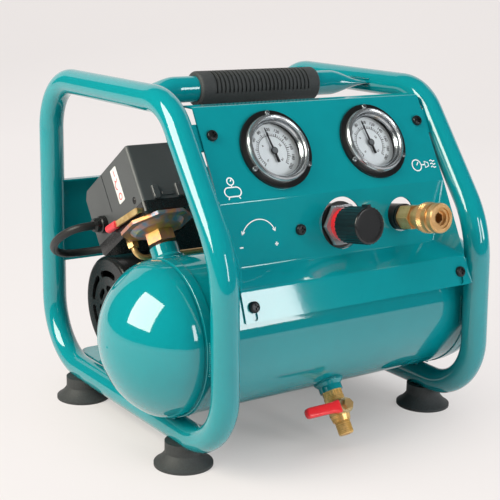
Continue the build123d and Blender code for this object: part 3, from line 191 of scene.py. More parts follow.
# seats on the tank: the switch box over its left dome, the drain valve low on its front
tankSeats = {
    "switch": {"at": (-114.0, -32.29, 155.62), "up": (0, 0.81915, -0.57358)},
    "drain": {"at": (0, -106.03, 52.23), "up": (0, -0.80902, 0.58779)},
}


def seat(origin, across, up):
    # a frame in millimetres on a face: x across it, y up it, z out of it
    x = Vector(across).normalized()
    y = Vector(up).normalized()
    turn = Matrix((x, y, x.cross(y))).transposed().to_4x4()
    return Matrix.Translation(Vector(origin) * mm) @ turn @ Matrix.Scale(mm, 4)


def leaning(y, z, lean):
    tilt = math.radians(lean)
    return seat((0, y, z), (1, 0, 0), (0, math.sin(tilt), math.cos(tilt)))


def shifted(base, x, y, z=0.0):
    return base @ Matrix.Translation((x, y, z))


brow = leaning(*panelFaces["brow"])
dash = leaning(*panelFaces["dash"])
gaugeSeats = [shifted(brow, side * panelFaces["gauge"]["x"], panelFaces["gauge"]["up"]) for side in (-1, 1)]
regulatorSeat = shifted(dash, panelFaces["regulator"]["x"], panelFaces["regulator"]["up"])
couplerSeat = shifted(dash, panelFaces["coupler"]["x"], panelFaces["coupler"]["up"])
switchSeat, drainSeat = (seat(spot["at"], (1, 0, 0), spot["up"]) for spot in tankSeats.values())


def axisOf(base):
    return tuple(base.to_3x3().col[2].normalized())


def spotOf(base):
    return tuple(base.translation)


# finishes, one per kind of surface on the machine
paint = {"teal": "#068a92", "deep": "#05848d", "rough": 0.045, "peel": 0.05, "depth": 0.0004}


def makeTealPaint():
    material, wire = newMaterial("teal_enamel")
    where = place(wire)
    drift = noise(wire, where, 8.0, 3.0)
    mottle = noise(wire, where, 70.0, 2.0)
    peel = noise(wire, where, 230.0, 1.0)
    sag = noise(wire, where, 45.0, 1.0)
    shade = (drift * 0.7 + mottle * 0.3).smooth(0.3, 0.7)
    return surface(material, wire, {
        "Base Color": shade.blend(colour(paint["teal"]), colour(paint["deep"])),
        "Roughness": paint["rough"] + mottle * 0.03,
        "Specular IOR Level": 0.65,
        "Coat Weight": 0.42,
        "Coat Roughness": 0.015,
        "Normal": bump(wire, peel * 0.4 + sag * 0.6, paint["peel"], paint["depth"]),
    })


def makeGrained(name, base, rough, scale, relief=0.15, metal=0.0, spread=0.12, shade=0.78, coat=0.0):
    # a base colour with a fine grain in its shade, its roughness and its relief
    material, wire = newMaterial(name)
    where = place(wire)
    cloud = noise(wire, where, 16.0, 4.0)
    grain = noise(wire, where, scale, 3.0)
    dark = tuple(c * shade for c in colour(base)[:3]) + (1.0,)
    return surface(material, wire, {
        "Base Color": (cloud * 0.6 + grain * 0.4).smooth(0.3, 0.7).blend(dark, colour(base)),
        "Roughness": rough + (grain - 0.5) * spread,
        "Metallic": metal,
        "Coat Weight": coat,
        "Coat Roughness": 0.06,
        "Normal": bump(wire, grain, relief, 0.0004),
    })


def makeRubber(name, base, rough):
    # moulded rubber: pebbled, with paler dust in the pebbles
    material, wire = newMaterial(name)
    where = place(wire)
    cloud = noise(wire, where, 22.0, 4.0)
    pebble = wire.node("ShaderNodeTexVoronoi", {"feature": "SMOOTH_F1"}, {"Vector": where, "Scale": 900.0},
                       "Distance")
    dust = (cloud * 0.7 + pebble * 0.5).smooth(0.35, 0.8)
    dark = tuple(c * 0.7 for c in colour(base)[:3]) + (1.0,)
    return surface(material, wire, {
        "Base Color": dust.blend(dark, colour(base)),
        "Roughness": rough + cloud * 0.15,
        "Specular IOR Level": 0.4,
        "Normal": bump(wire, pebble, 0.25, 0.0004),
    })


def makeTurned(name, base, dark, rough, where, rings=2600.0, relief=0.10, metal=0.82):
    # lathe-turned metal: rings round an axis, on its sides and on its ends
    material, wire = newMaterial(name)
    spot, axis = where
    here = place(wire, centre=spot)
    reach = here.dot(axis)
    out = here.vector("CROSS_PRODUCT", axis).length()
    cuts = lines(wire, reach, rings) * 0.5 + lines(wire, out, rings) * 0.5
    stain = noise(wire, here, 90.0, 4.0)
    return surface(material, wire, {
        "Base Color": (stain * 0.7 + cuts * 0.3).smooth(0.3, 0.65).blend(colour(dark), colour(base)),
        "Roughness": rough + (cuts - 0.5) * 0.22 + (stain - 0.5) * 0.1,
        "Metallic": metal,
        "Normal": bump(wire, cuts, relief, 0.0002),
    })


def fromGauge(wire):
    # Object coordinates over the gauges, and the distance from the axis of the nearer one
    middle = shifted(brow, 0, panelFaces["gauge"]["up"])
    here = place(wire, centre=spotOf(middle))
    side = here.node("ShaderNodeSeparateXYZ", sockets={0: here})
    nearX = side.sum("ABSOLUTE", side) - panelFaces["gauge"]["x"] * mm
    flat = wire.xyz(nearX, side.other("Y"), side.other("Z"))
    return here, flat.vector("CROSS_PRODUCT", axisOf(brow)).length()


def makeBezelFinish():
    # spun metal, its rings centred on each gauge
    material, wire = newMaterial("spun_bezel")
    here, out = fromGauge(wire)
    rings = lines(wire, out, 1500.0, 1.0)
    smear = noise(wire, here, 90.0, 2.0)
    shade = (rings * 0.8 + smear * 0.2).smooth(0.35, 0.65)
    return surface(material, wire, {
        "Base Color": shade.blend(colour("#8d959b"), colour("#d9dfe3")),
        "Roughness": 0.14 + rings * 0.16,
        "Metallic": 0.85,
        "Normal": bump(wire, rings, 0.06, 0.0003),
    })


needleHub = {"radius": 2.4}


def makeNeedleFinish():
    # black pointer on a grey hub
    material, wire = newMaterial("needle_black")
    here, out = fromGauge(wire)
    hub = out.below(needleHub["radius"] * mm)
    grain = noise(wire, here, 900.0, 2.0)
    return surface(material, wire, {
        "Base Color": hub.blend(colour("#141618"), colour("#7b8185")),
        "Roughness": 0.34 + grain * 0.12,
        "Metallic": hub * 0.6,
        "Normal": bump(wire, grain, 0.03, 0.0002),
    })


drainGrip = {"edge": -7.0}


def makeDrainLeverFinish():
    # plated strip, dipped in red from its outer end
    material, wire = newMaterial("dipped_drain_lever")
    here = place(wire)
    red = here.node("ShaderNodeSeparateXYZ", sockets={0: here}).below(drainGrip["edge"] * mm)
    cloud = noise(wire, here, 140.0, 3.0)
    vinyl = cloud.smooth(0.3, 0.7).blend(colour("#e0242e"), colour("#ee3640"))
    return surface(material, wire, {
        "Base Color": red.blend(colour("#d9c9a0"), vinyl),
        "Roughness": 0.34 - red * 0.16 + cloud * 0.06,
        "Metallic": 0.7 - red * 0.7,
        "Coat Weight": red * 0.5,
        "Coat Roughness": 0.05,
        "Normal": bump(wire, cloud, 0.05, 0.0004),
    })


def makeYellowZinc():
    # chromate plating: gold that drifts through rose, green and blue
    material, wire = newMaterial("yellow_zinc")
    where = place(wire)
    drift = noise(wire, where, 55.0, 2.0) * 0.75 + noise(wire, where, 210.0, 2.0) * 0.25
    film = [(0.0, "#c4924a"), (0.36, "#dcb064"), (0.44, "#cf9070"), (0.5, "#bf9490"), (0.56, "#7f95ab"),
            (0.62, "#b0ac7c"), (0.7, "#e0bd70"), (1.0, "#c99a4e")]
    return surface(material, wire, {
        "Base Color": wire.node("ShaderNodeValToRGB", {"stops": film}, {"Fac": drift}, "Color"),
        "Roughness": 0.4 + drift * 0.16,
        "Metallic": 0.68,
        "Normal": bump(wire, drift, 0.05, 0.0004),
    })


washer = {"top": 1.3}


def makeNutAndWasher():
    # bright nut over a black washer, told apart by height over the dash
    material, wire = newMaterial("plated_nut_black_washer")
    here = place(wire, centre=spotOf(regulatorSeat))
    nut = here.dot(axisOf(regulatorSeat)).above(washer["top"] * mm)
    smear = noise(wire, here, 160.0, 3.0)
    return surface(material, wire, {
        "Base Color": nut.blend(colour("#0e0f10"), colour("#b9bfc4")),
        "Roughness": 0.3 - nut * 0.12 + smear * 0.1,
        "Metallic": nut * 0.7,
        "Normal": bump(wire, smear, 0.04, 0.0003),
    })


leverTip = {"pin": (-136.0, -26.31, 199.53), "along": (0, 0.8903, -0.4556), "start": 38.6}


def makeLeverFinish():
    # yellow zinc strip with a red sleeve on its end
    material, wire = newMaterial("zinc_strip_red_tip")
    here = place(wire, centre=tuple(c * mm for c in leverTip["pin"]))
    red = here.dot(leverTip["along"]).above(leverTip["start"] * mm)
    drift = noise(wire, here, 120.0, 3.0)
    zinc = drift.smooth(0.3, 0.7).blend(colour("#bb9757"), colour("#e0c68c"))
    return surface(material, wire, {
        "Base Color": red.blend(zinc, colour("#dc3c46")),
        "Roughness": 0.32 + red * 0.1 + drift * 0.06,
        "Metallic": 0.8 - red * 0.8,
        "Normal": bump(wire, drift, 0.05, 0.0003),
    })


screwSpan = {"gauge": 34.0}


def makeScrewFinish():
    # black screws on the panel, bright small ones on the gauge flanges
    material, wire = newMaterial("panel_and_gauge_screws")
    here = place(wire)
    bright = 0
    for base in gaugeSeats:
        bright = here.vector("SUBTRACT", spotOf(base)).length().below(screwSpan["gauge"] * mm) + bright
    grain = noise(wire, here, 500.0, 3.0)
    return surface(material, wire, {
        "Base Color": bright.blend(colour("#2b2e30"), colour("#a4a9ad")),
        "Roughness": 0.24 + grain * 0.14,
        "Metallic": 0.55 + bright * 0.35,
        "Normal": bump(wire, grain, 0.05, 0.0003),
    })


def makeLens():
    material, wire = newMaterial("clear_lens")
    clear = wire.node("ShaderNodeBsdfTransparent", sockets={"Color": colour("#ffffff")})
    gloss = wire.node("ShaderNodeBsdfGlossy", sockets={"Roughness": 0.02})
    edge = wire.node("ShaderNodeFresnel", sockets={"IOR": 1.4})
    inside = wire.node("ShaderNodeNewGeometry", out="Backfacing")  # only the outer face mirrors
    mixed = wire.node("ShaderNodeMixShader", sockets={0: edge * (1 - inside), 1: clear, 2: gloss})
    wire.node("ShaderNodeOutputMaterial", sockets={"Surface": mixed})
    return material


couplerAxis = (spotOf(couplerSeat), axisOf(couplerSeat))
drainAxis = (spotOf(drainSeat), axisOf(drainSeat))
finishes = {
    "teal_paint": makeTealPaint(),
    "black_paint": makeGrained("satin_black_enamel", "#141516", 0.34, 420.0, 0.06, coat=0.1),
    "screws": makeScrewFinish(),
    "black_plastic": makeGrained("grained_black_plastic", "#4c5052", 0.42, 1100.0, 0.35),
    "motor_plastic": makeGrained("motor_plastic", "#1d1f20", 0.26, 900.0, 0.12),
    "knob_plastic": makeGrained("knob_plastic", "#181a1c", 0.24, 800.0, 0.1, coat=0.15),
    "clip_plastic": makeGrained("clip_plastic", "#4a4d4f", 0.24, 800.0, 0.05),
    "black_rubber": makeRubber("moulded_rubber", "#3e4142", 0.55),
    "lead_rubber": makeRubber("lead_rubber", "#202122", 0.38),
    "brass": makeGrained("cast_brass", "#e3bd80", 0.34, 500.0, 0.06, 0.78),
    "coupler_brass": makeTurned("turned_brass_coupler", "#e8c08a", "#cf9c5e", 0.32, couplerAxis, metal=0.76),
    # the drain's turned rings are its own, but its brass is paler and less metallic than the other brass:
    # painted light, standing in for the light it lacks in the shade under the tank
    "drain_brass_painted_lit": makeTurned("turned_brass_drain_painted_lit", "#f8d08c", "#dda850", 0.28, drainAxis, metal=0.5),
    "chrome": makeGrained("bright_chrome", "#d9dcde", 0.12, 300.0, 0.02, 1.0, 0.04, 0.95),
    "bezel": makeBezelFinish(),
    "needle": makeNeedleFinish(),
    "drain_lever": makeDrainLeverFinish(),
    "nut": makeNutAndWasher(),
    "zinc": makeYellowZinc(),
    "lever": makeLeverFinish(),
    "steel": makeGrained("bright_steel", "#b2b5b7", 0.3, 300.0, 0.05, 0.8),
    "cast_aluminium": makeGrained("cast_aluminium", "#a5a9ab", 0.48, 420.0, 0.4, 0.65),
    "red_plastic": makeGrained("red_dipped_vinyl", "#ea2d35", 0.2, 260.0, 0.04, coat=0.2, shade=0.9),
    "dial_white": makeGrained("dial_enamel", "#dbe3e7", 0.4, 300.0, 0.01, shade=0.98),
    "white_ink": makeGrained("white_ink", "#eef2f2", 0.45, 500.0, 0.05, shade=0.95),
    "label": makeGrained("label_film", "#d2d4d4", 0.3, 140.0, 0.03, shade=0.96),
    "red_ink": makeGrained("red_ink", "#d8444a", 0.4, 500.0, 0.03),
    "needle_black": makeGrained("black_ink", "#0c0d0e", 0.4, 300.0, 0.02),
    "copper": makeGrained("copper_tube", "#c07a52", 0.28, 300.0, 0.05, 0.8),
    "clear_lens": makeLens(),
}
wears = {
    "teal_paint": "left_hoop right_hoop handle_bar front_panel panel_tabs back_panel base_plate tank_shell "
                  "tank_left_dome tank_right_dome tank_bungs tank_mounts",
    "black_rubber": "handle_grip foot_front_left foot_front_right foot_rear_left foot_rear_right",
    "black_paint": "motor_shell gauge_cases coupler_adaptor",
    "screws": "panel_screws",
    "black_plastic": "switch_cover intake_filter",
    "motor_plastic": "motor_end_cap capacitor_cover cooling_fan switch_base cable_glands",
    "knob_plastic": "regulator_knob",
    "brass": "drain_ball check_valve safety_valve_body air_tubes",
    "drain_brass_painted_lit": "drain_valve_body",
    "coupler_brass": "coupler_body coupler_sleeve",
    "chrome": "safety_valve_stem",
    "bezel": "gauge_bezels",
    "nut": "regulator_nut",
    "zinc": "switch_diaphragm regulator_bracket",
    "lever": "switch_lever",
    "steel": "regulator_spindle rotor_shaft stator hex_bolts crank_disc",
    "cast_aluminium": "crankcase cylinder cylinder_head piston_rod regulator_body",
    "red_plastic": "regulator_lock_band",
    "drain_lever": "drain_lever",
    "dial_white": "gauge_dials",
    "needle": "tank_gauge_needle outlet_gauge_needle",
    "clear_lens": "gauge_lenses",
    "copper": "discharge_tube",
    "lead_rubber": "motor_lead",
}
for finishName, names in wears.items():
    for name in names.split():
        for matSlot in nodes[name].material_slots:
            matSlot.material = finishes[finishName]
print("finishes on the CAD nodes:", len(finishes))


def addObject(name, data):
    made = bpy.data.objects.new(name, data)
    bpy.context.collection.objects.link(made)
    return made


cameraView = {
    "at": (-0.5952, -0.8495, 0.3952),
    "right": (0.826, -0.563, 0.020),
    "up": (0.1165, 0.205, 0.972),
    "focalPixels": 1183.5,
    "imagePixels": 500.0,
    "sensor": 36.0,
}


def makeCamera():
    data = bpy.data.cameras.new("camera")
    data.sensor_width = cameraView["sensor"]
    data.lens = cameraView["focalPixels"] / cameraView["imagePixels"] * cameraView["sensor"]
    data.clip_start = 0.05
    camera = addObject("camera", data)
    right = Vector(cameraView["right"]).normalized()
    back = right.cross(Vector(cameraView["up"])).normalized()
    up = back.cross(right)
    turn = Matrix((right, up, back)).transposed().to_4x4()
    camera.matrix_world = Matrix.Translation(cameraView["at"]) @ turn
    bpy.context.scene.camera = camera


makeCamera()

# motor lead, from the switch box round to the gland on the motor
lead = {
    "route": [
        (-0.138, 0.0379, 0.1757), (-0.152, 0.0379, 0.1757), (-0.163, 0.045, 0.1725), (-0.169, 0.060, 0.163),
        (-0.166, 0.078, 0.152), (-0.156, 0.094, 0.142), (-0.141, 0.104, 0.136), (-0.122, 0.104, 0.1356),
        (-0.103, 0.092, 0.1395), (-0.086, 0.084, 0.1409), (-0.072, 0.084, 0.1409),
    ],
    "thick": 0.007,
    "length": 0.179,
}


def makeLead():
    curve = bpy.data.curves.new("motor_lead_flex", "CURVE")
    curve.dimensions = "3D"
    curve.bevel_depth = lead["thick"] / 2
    curve.bevel_resolution = 6
    curve.resolution_u = 12
    curve.use_fill_caps = True
    spline = curve.splines.new("NURBS")
    spline.points.add(len(lead["route"]) - 1)
    for point, spot in zip(spline.points, lead["route"]):
        point.co = (*spot, 1.0)
    spline.order_u = 3
    spline.use_endpoint_u = True
    flex = addObject("motor_lead_flex", curve)
    curve.materials.append(finishes["lead_rubber"])
    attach(flex, "root")
    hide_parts("motor_lead")


makeLead()
print("camera and motor lead made")


def newTree(name, inputs):
    # geometry nodes tree with named inputs; returns the wires of its inputs
    tree = bpy.data.node_groups.new(name, "GeometryNodeTree")
    tree.interface.new_socket("Geometry", in_out="INPUT", socket_type="NodeSocketGeometry")
    for label, kind in inputs.items():
        tree.interface.new_socket(label, in_out="INPUT", socket_type="NodeSocket" + kind)
    tree.interface.new_socket("Finish", in_out="INPUT", socket_type="NodeSocketMaterial")
    tree.interface.new_socket("Geometry", in_out="OUTPUT", socket_type="NodeSocketGeometry")
    first = Wire(tree).node("NodeGroupInput")
    return tree, {socket.name: Wire(tree, socket) for socket in first.socket.node.outputs if socket.name}


def endTree(geometry, ports, smooth=False):
    done = geometry.node("GeometryNodeRealizeInstances", sockets={"Geometry": geometry})
    done = done.node("GeometryNodeSetShadeSmooth", sockets={"Geometry": done, "Shade Smooth": smooth})
    done = done.node("GeometryNodeSetMaterial", sockets={"Geometry": done, "Material": ports["Finish"]})
    done.node("NodeGroupOutput", sockets={"Geometry": done})


def meshOf(holder):
    # the plain mesh that an object comes to, with the object gone
    graph = bpy.context.evaluated_depsgraph_get()
    made = bpy.data.meshes.new_from_object(holder.evaluated_get(graph), depsgraph=graph)
    bpy.data.objects.remove(holder)
    return made


def runTree(tree, values, finish, carrier=None):
    # a plain mesh from the tree, run once on a carrier mesh
    holder = addObject(tree.name, carrier or bpy.data.meshes.new(tree.name))
    modifier = holder.modifiers.new(tree.name, "NODES")
    modifier.node_group = tree
    settings = {**values, "Finish": finish}
    for item in tree.interface.items_tree:
        if item.in_out == "INPUT" and item.name in settings:
            modifier[item.identifier] = settings[item.name]
    return meshOf(holder)


def lineMesh(paths):
    # bare edges for a tree to follow; each path is its points and whether it closes
    mesh = bpy.data.meshes.new("paths")
    points = []
    edges = []
    for path, closed in paths:
        low = len(points)
        points += [tuple(p) for p in path]
        edges += [(low + i, low + i + 1) for i in range(len(path) - 1)]
        if closed:
            edges.append((len(points) - 1, low))
    mesh.from_pydata(points, edges, [])
    return mesh


def textMesh(words, size, thick, bold):
    data = bpy.data.curves.new("numeral", "FONT")
    data.body = words
    data.size = size
    data.extrude = thick / 2
    data.offset = bold
    data.align_x = "CENTER"
    data.align_y = "CENTER"
    data.resolution_u = 3
    return meshOf(addObject("numeral", data))


def plainMesh(name, build):
    mesh = bpy.data.meshes.new(name)
    build.to_mesh(mesh)
    build.free()
    return mesh


def assemble(name, parts, finish, body="root"):
    # several meshes, each set in its place, as one piece at the origin
    build = bmesh.new()
    for mesh, spot in parts:
        copy = mesh.copy()
        copy.transform(spot)
        build.from_mesh(copy)
        bpy.data.meshes.remove(copy)
    for face in build.faces:
        face.material_index = 0
    out = plainMesh(name, build)
    out.materials.append(finish)
    piece = addObject(name, out)
    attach(piece, body)


def skin(build, rows, capped=True):
    # walls between rows of points, each row a closed ring, and a face over each end
    for low, up in zip(rows, rows[1:]):
        for i in range(len(low)):
            j = (i + 1) % len(low)
            build.faces.new((low[i], low[j], up[j], up[i]))
    if capped:
        build.faces.new(rows[-1])
        build.faces.new(list(reversed(rows[0])))


def makeTickTree():
    # bars fanned out round a centre, counted clockwise from the start
    sizes = ("Inner", "Long", "Wide", "Thick", "Start", "Sweep")
    tree, ports = newTree("dial_ticks", {"Count": "Int", **{name: "Float" for name in sizes}})
    wire = Wire(tree)
    index = wire.node("GeometryNodeInputIndex")
    angle = ports["Start"] + index * ports["Sweep"] / (ports["Count"] - 1)
    middle = ports["Inner"] + ports["Long"] / 2
    spot = wire.xyz(angle.sine() * middle, angle.cosine() * middle, 0.0)
    points = wire.node("GeometryNodePoints", sockets={"Count": ports["Count"], "Position": spot})
    size = wire.xyz(ports["Wide"], ports["Long"], ports["Thick"])
    bar = wire.node("GeometryNodeMeshCube", sockets={"Size": size})
    turn = wire.xyz(0.0, 0.0, 0 - angle)
    fan = wire.node("GeometryNodeInstanceOnPoints",
                    sockets={"Points": points, "Instance": bar, "Rotation": turn})
    endTree(fan, ports)
    return tree


def makeStrokeTree():
    # flat printed line along a path
    tree, ports = newTree("printed_stroke", {"Wide": "Float", "Thick": "Float"})
    wire = Wire(tree)
    path = wire.node("GeometryNodeMeshToCurve", sockets={"Mesh": ports["Geometry"]})
    path = wire.node("GeometryNodeSetCurveNormal", {"mode": "Z_UP"}, {"Curve": path})
    section = wire.node("GeometryNodeCurvePrimitiveQuadrilateral",
                        sockets={"Width": ports["Wide"], "Height": ports["Thick"]})
    ribbon = wire.node("GeometryNodeCurveToMesh",
                       sockets={"Curve": path, "Profile Curve": section, "Fill Caps": True})
    endTree(ribbon, ports)
    return tree


def makeBeadTree():
    # weld bead: overlapping flat drops along a path
    sizes = ("Pitch", "Thick", "Flat", "Uneven")
    tree, ports = newTree("weld_bead", {**{name: "Float" for name in sizes}, "Seed": "Int"})
    wire = Wire(tree)
    path = wire.node("GeometryNodeMeshToCurve", sockets={"Mesh": ports["Geometry"]})
    path = wire.node("GeometryNodeResampleCurve", {"mode": "LENGTH"},
                     {"Curve": path, "Length": ports["Pitch"]})
    tangent = wire.node("GeometryNodeInputTangent")
    turn = wire.node("FunctionNodeAlignRotationToVector", {"axis": "Z"}, {"Vector": tangent})
    spread = {"Min": 1 - ports["Uneven"], "Max": 1 + ports["Uneven"], "Seed": ports["Seed"]}
    chance = wire.node("FunctionNodeRandomValue", {"data_type": "FLOAT"}, spread, "Value")
    half = ports["Thick"] / 2 * chance
    drop = wire.node("GeometryNodeMeshUVSphere", sockets={"Segments": 10, "Rings": 6, "Radius": 1.0})
    row = wire.node("GeometryNodeInstanceOnPoints",
                    sockets={"Points": path, "Instance": drop, "Rotation": turn,
                             "Scale": wire.xyz(half, half, half * ports["Flat"])})
    endTree(row, ports, True)
    return tree


def makeKnurlTree():
    # staggered pyramids round a sleeve
    sizes = ("Radius", "Low", "Pitch", "Wide", "High")
    inputs = {"Around": "Int", "Rows": "Int", **{name: "Float" for name in sizes}}
    tree, ports = newTree("sleeve_knurl", inputs)
    wire = Wire(tree)
    index = wire.node("GeometryNodeInputIndex")
    row = (index / ports["Around"]).sum("FLOOR", index / ports["Around"])
    turnShare = (index - row * ports["Around"] + row * 0.5) / ports["Around"]
    angle = turnShare * (2 * math.pi)
    outward = wire.xyz(angle.cosine(), angle.sine(), 0.0)
    spot = wire.xyz(angle.cosine() * ports["Radius"], angle.sine() * ports["Radius"],
                    ports["Low"] + row * ports["Pitch"])
    count = ports["Around"] * ports["Rows"]
    points = wire.node("GeometryNodePoints", sockets={"Count": count, "Position": spot})
    turn = wire.node("FunctionNodeAxesToRotation", {"primary_axis": "Z", "secondary_axis": "X"},
                     {"Primary Axis": outward, "Secondary Axis": (0.0, 0.0, 1.0)})
    tooth = wire.node("GeometryNodeMeshCone",
                      sockets={"Vertices": 4, "Radius Top": 0.0, "Radius Bottom": ports["Wide"],
                               "Depth": ports["High"]})
    band = wire.node("GeometryNodeInstanceOnPoints",
                     sockets={"Points": points, "Instance": tooth, "Rotation": turn})
    endTree(band, ports)
    return tree


tickTree = makeTickTree()
strokeTree = makeStrokeTree()
beadTree = makeBeadTree()
knurlTree = makeKnurlTree()
print("node trees made")

# print on the dials: plain scale marks and numbers
dial = {
    "face": -3.8, "thick": 0.08, "start": -135.0, "sweep": 270.0, "top": 200, "step": 20, "inner": 13.6,
    "minor": {"count": 41, "long": 2.0, "wide": 0.46}, "major": {"count": 11, "long": 2.9, "wide": 0.7},
    "numerals": {"radius": 18.8, "size": 3.7, "bold": 0.06}, "arc": 0.34, "arcSteps": 72,
    "innerRow": {"radius": 9.8, "size": 2.8, "top": 14, "values": (0, 4, 7, 10, 14)},
}


def clockwise(radius, degrees):
    angle = math.radians(degrees)
    return Vector((radius * math.sin(angle), radius * math.cos(angle), 0.0))


def makeDialPrint():
    ink = finishes["needle_black"]
    thick, start, sweep, steps = (dial[k] for k in ("thick", "start", "sweep", "arcSteps"))
    marks = []
    for bars in (dial["minor"], dial["major"]):
        marks.append(runTree(tickTree, {
            "Count": bars["count"], "Inner": dial["inner"], "Long": bars["long"], "Wide": bars["wide"],
            "Thick": thick, "Start": math.radians(start), "Sweep": math.radians(sweep),
        }, ink))
    arc = [clockwise(dial["inner"], start + sweep * i / steps) for i in range(steps + 1)]
    marks.append(runTree(strokeTree, {"Wide": dial["arc"], "Thick": thick}, ink, lineMesh([(arc, False)])))
    outer, inner = dial["numerals"], dial["innerRow"]
    rows = [(value, value / dial["top"], outer) for value in range(0, dial["top"] + 1, dial["step"])]
    rows += [(value, value / inner["top"], inner) for value in inner["values"]]
    numerals = []
    for value, share, row in rows:
        angle = start + sweep * share
        turn = Matrix.Rotation(-math.radians(angle), 4, "Z")
        spot = Matrix.Translation(clockwise(row["radius"], angle)) @ turn
        numerals.append((textMesh(str(value), row["size"], thick, outer["bold"]), spot))
    parts = []
    for base in gaugeSeats:
        face = shifted(base, 0, 0, dial["face"] + thick / 4)
        parts += [(mark, face) for mark in marks]
        parts += [(numeral, face @ spot) for numeral, spot in numerals]
    assemble("dial_print", parts, ink)


makeDialPrint()

# white marks on the panel: a tank, an outlet and a turn scale, in place of words
panelPrint = {
    "stroke": 0.95, "fine": 0.7, "thick": 0.1,
    "tank": {"x": -100.2, "up": 8.9, "wide": 15.0, "high": 7.6, "gaugeUp": 8.6, "gaugeR": 3.0,
             "hand": (1.4, 1.6), "leg": 4.2, "splay": 1.2, "drop": 2.2},
    "outlet": {"x": 99.2, "up": 15.2, "gaugeX": -8.6, "gaugeR": 5.0, "hand": (2.2, 2.6), "pipeEnd": 0.6,
               "nozzle": [(0.6, -2.8), (0.6, 2.8), (4.6, 1.5), (4.6, -1.5)],
               "wave": [(7.0, 0.0), (8.8, 0.7), (10.6, -0.7), (12.6, 0.0)], "waves": (-2.8, 0.0, 2.8)},
    "scale": {"x": -80.9, "up": 20.07, "radius": 16.73, "from": -68.3, "to": 68.3, "head": 3.0,
              "barb": 28.648, "sign": 3.2, "minus": (-97.9, 16.4), "plus": (-64.6, 16.0)},
}


def ring(x, y, radius, first=0.0, last=360.0, steps=28):
    closed = last - first >= 360.0
    turns = [first + (last - first) * i / steps for i in range(steps if closed else steps + 1)]
    return [Vector((x, y, 0)) + clockwise(radius, turn) for turn in turns], closed


def capsule(x, y, wide, high, steps=12):
    r = high / 2
    run = wide / 2 - r
    right = [Vector((x + run, y, 0)) + clockwise(r, 180.0 * i / steps) for i in range(steps + 1)]
    left = [Vector((x - run, y, 0)) + clockwise(r, 180.0 + 180.0 * i / steps) for i in range(steps + 1)]
    return right + left, True


def strokes(paths, wide, finish):
    flat = [([(p[0], p[1], 0.0) for p in path], closed) for path, closed in paths]
    sizes = {"Wide": wide, "Thick": panelPrint["thick"]}
    return runTree(strokeTree, sizes, finish, lineMesh(flat))


def makePanelPrint():
    tank, outlet, scale = (panelPrint[k] for k in ("tank", "outlet", "scale"))
    x, y = tank["x"], tank["up"]
    half = tank["high"] / 2
    gaugeY = y + tank["gaugeUp"]
    marks = [
        capsule(x, y, tank["wide"], tank["high"]),
        ring(x, gaugeY, tank["gaugeR"]),
        ([(x, y + half), (x, gaugeY - tank["gaugeR"])], False),
        ([(x, gaugeY), (x + tank["hand"][0], gaugeY + tank["hand"][1])], False),
    ]
    for side in (-1, 1):
        top = x + side * tank["leg"]
        marks.append(([(top, y - half), (top + side * tank["splay"], y - half - tank["drop"])], False))
    x, y = outlet["x"], outlet["up"]
    gaugeX = x + outlet["gaugeX"]
    marks += [
        ring(gaugeX, y, outlet["gaugeR"]),
        ([(gaugeX, y), (gaugeX + outlet["hand"][0], y + outlet["hand"][1])], False),
        ([(gaugeX + outlet["gaugeR"], y), (x + outlet["pipeEnd"], y)], False),
        ([(x + across, y + up) for across, up in outlet["nozzle"]], True),
    ]
    for lift in outlet["waves"]:
        marks.append(([(x + across, y + lift + up) for across, up in outlet["wave"]], False))
    turnMark = [ring(scale["x"], scale["up"], scale["radius"], scale["from"], scale["to"])]
    for end, way in ((scale["from"], 90), (scale["to"], -90)):
        tip = Vector((scale["x"], scale["up"], 0)) + clockwise(scale["radius"], end)
        for spread in (-scale["barb"], scale["barb"]):
            turnMark.append(([tip, tip + clockwise(scale["head"], end + way + spread)], False))
    half = scale["sign"] / 2
    signs = [([(x - half, y), (x + half, y)], False) for x, y in (scale["minus"], scale["plus"])]
    x, y = scale["plus"]
    signs.append(([(x, y - half), (x, y + half)], False))
    ink = finishes["white_ink"]
    browFace, dashFace = (shifted(base, 0, 0, panelPrint["thick"] / 4) for base in (brow, dash))
    assemble("panel_print", [
        (strokes(marks, panelPrint["stroke"], ink), browFace),
        (strokes(turnMark, panelPrint["fine"], ink), dashFace),
        (strokes(signs, panelPrint["stroke"], ink), dashFace),
    ], ink)


makePanelPrint()
print("dials and panel printed")

# weld beads under the paint
welds = {
    "tank": {"y": -68.71, "z": 103.6, "r": 63.5},
    "bungs": [(-114.0, 35.0, 12.0), (0.0, 216.0, 10.0), (40.0, 30.0, 9.0), (90.0, 22.0, 9.0)],
    "bungLeg": 2.3, "bungLift": 0.3, "bungSteps": 48,
    "hoopX": 130.0, "hoopR": 11.1, "railZ": 28.0, "topZ": 290.7,
    "tongue": {"x": 118.7, "y": 13.0, "off": 3.1, "long": 27.0},
    "plate": {"x": 121.2, "z": 36.4, "spots": (-36.0, 14.0, 62.0, 104.0), "long": 22.0},
    "leg": {"y": -144.3, "off": 6.6, "long": 26.0, "steps": 8},
    "back": {"y": 152.6, "x": 119.0, "spots": (126.0, 157.0, 188.0), "long": 12.0},
    "thin": 2.6, "thick": 4.2, "pitch": 0.35, "flat": 0.55, "uneven": 0.1, "seed": 7,
}


def seam(middle, along, long, steps=6):
    # straight path of that length through its middle
    half = Vector(along) * (long / 2)
    a, b = Vector(middle) - half, Vector(middle) + half
    return [a.lerp(b, i / steps) for i in range(steps + 1)], False


def bungRing(x, angle, r):
    tank = welds["tank"]
    tilt = math.radians(angle)
    outward = Vector((0, math.sin(tilt), math.cos(tilt)))
    side = Vector((0, math.cos(tilt), -math.sin(tilt)))
    path = []
    for i in range(welds["bungSteps"]):
        turn = 2 * math.pi * i / welds["bungSteps"]
        across = r * math.sin(turn)
        high = math.sqrt(tank["r"] ** 2 - across ** 2) + welds["bungLift"]
        path.append(Vector((x + r * math.cos(turn), tank["y"], tank["z"])) + outward * high + side * across)
    return path, True


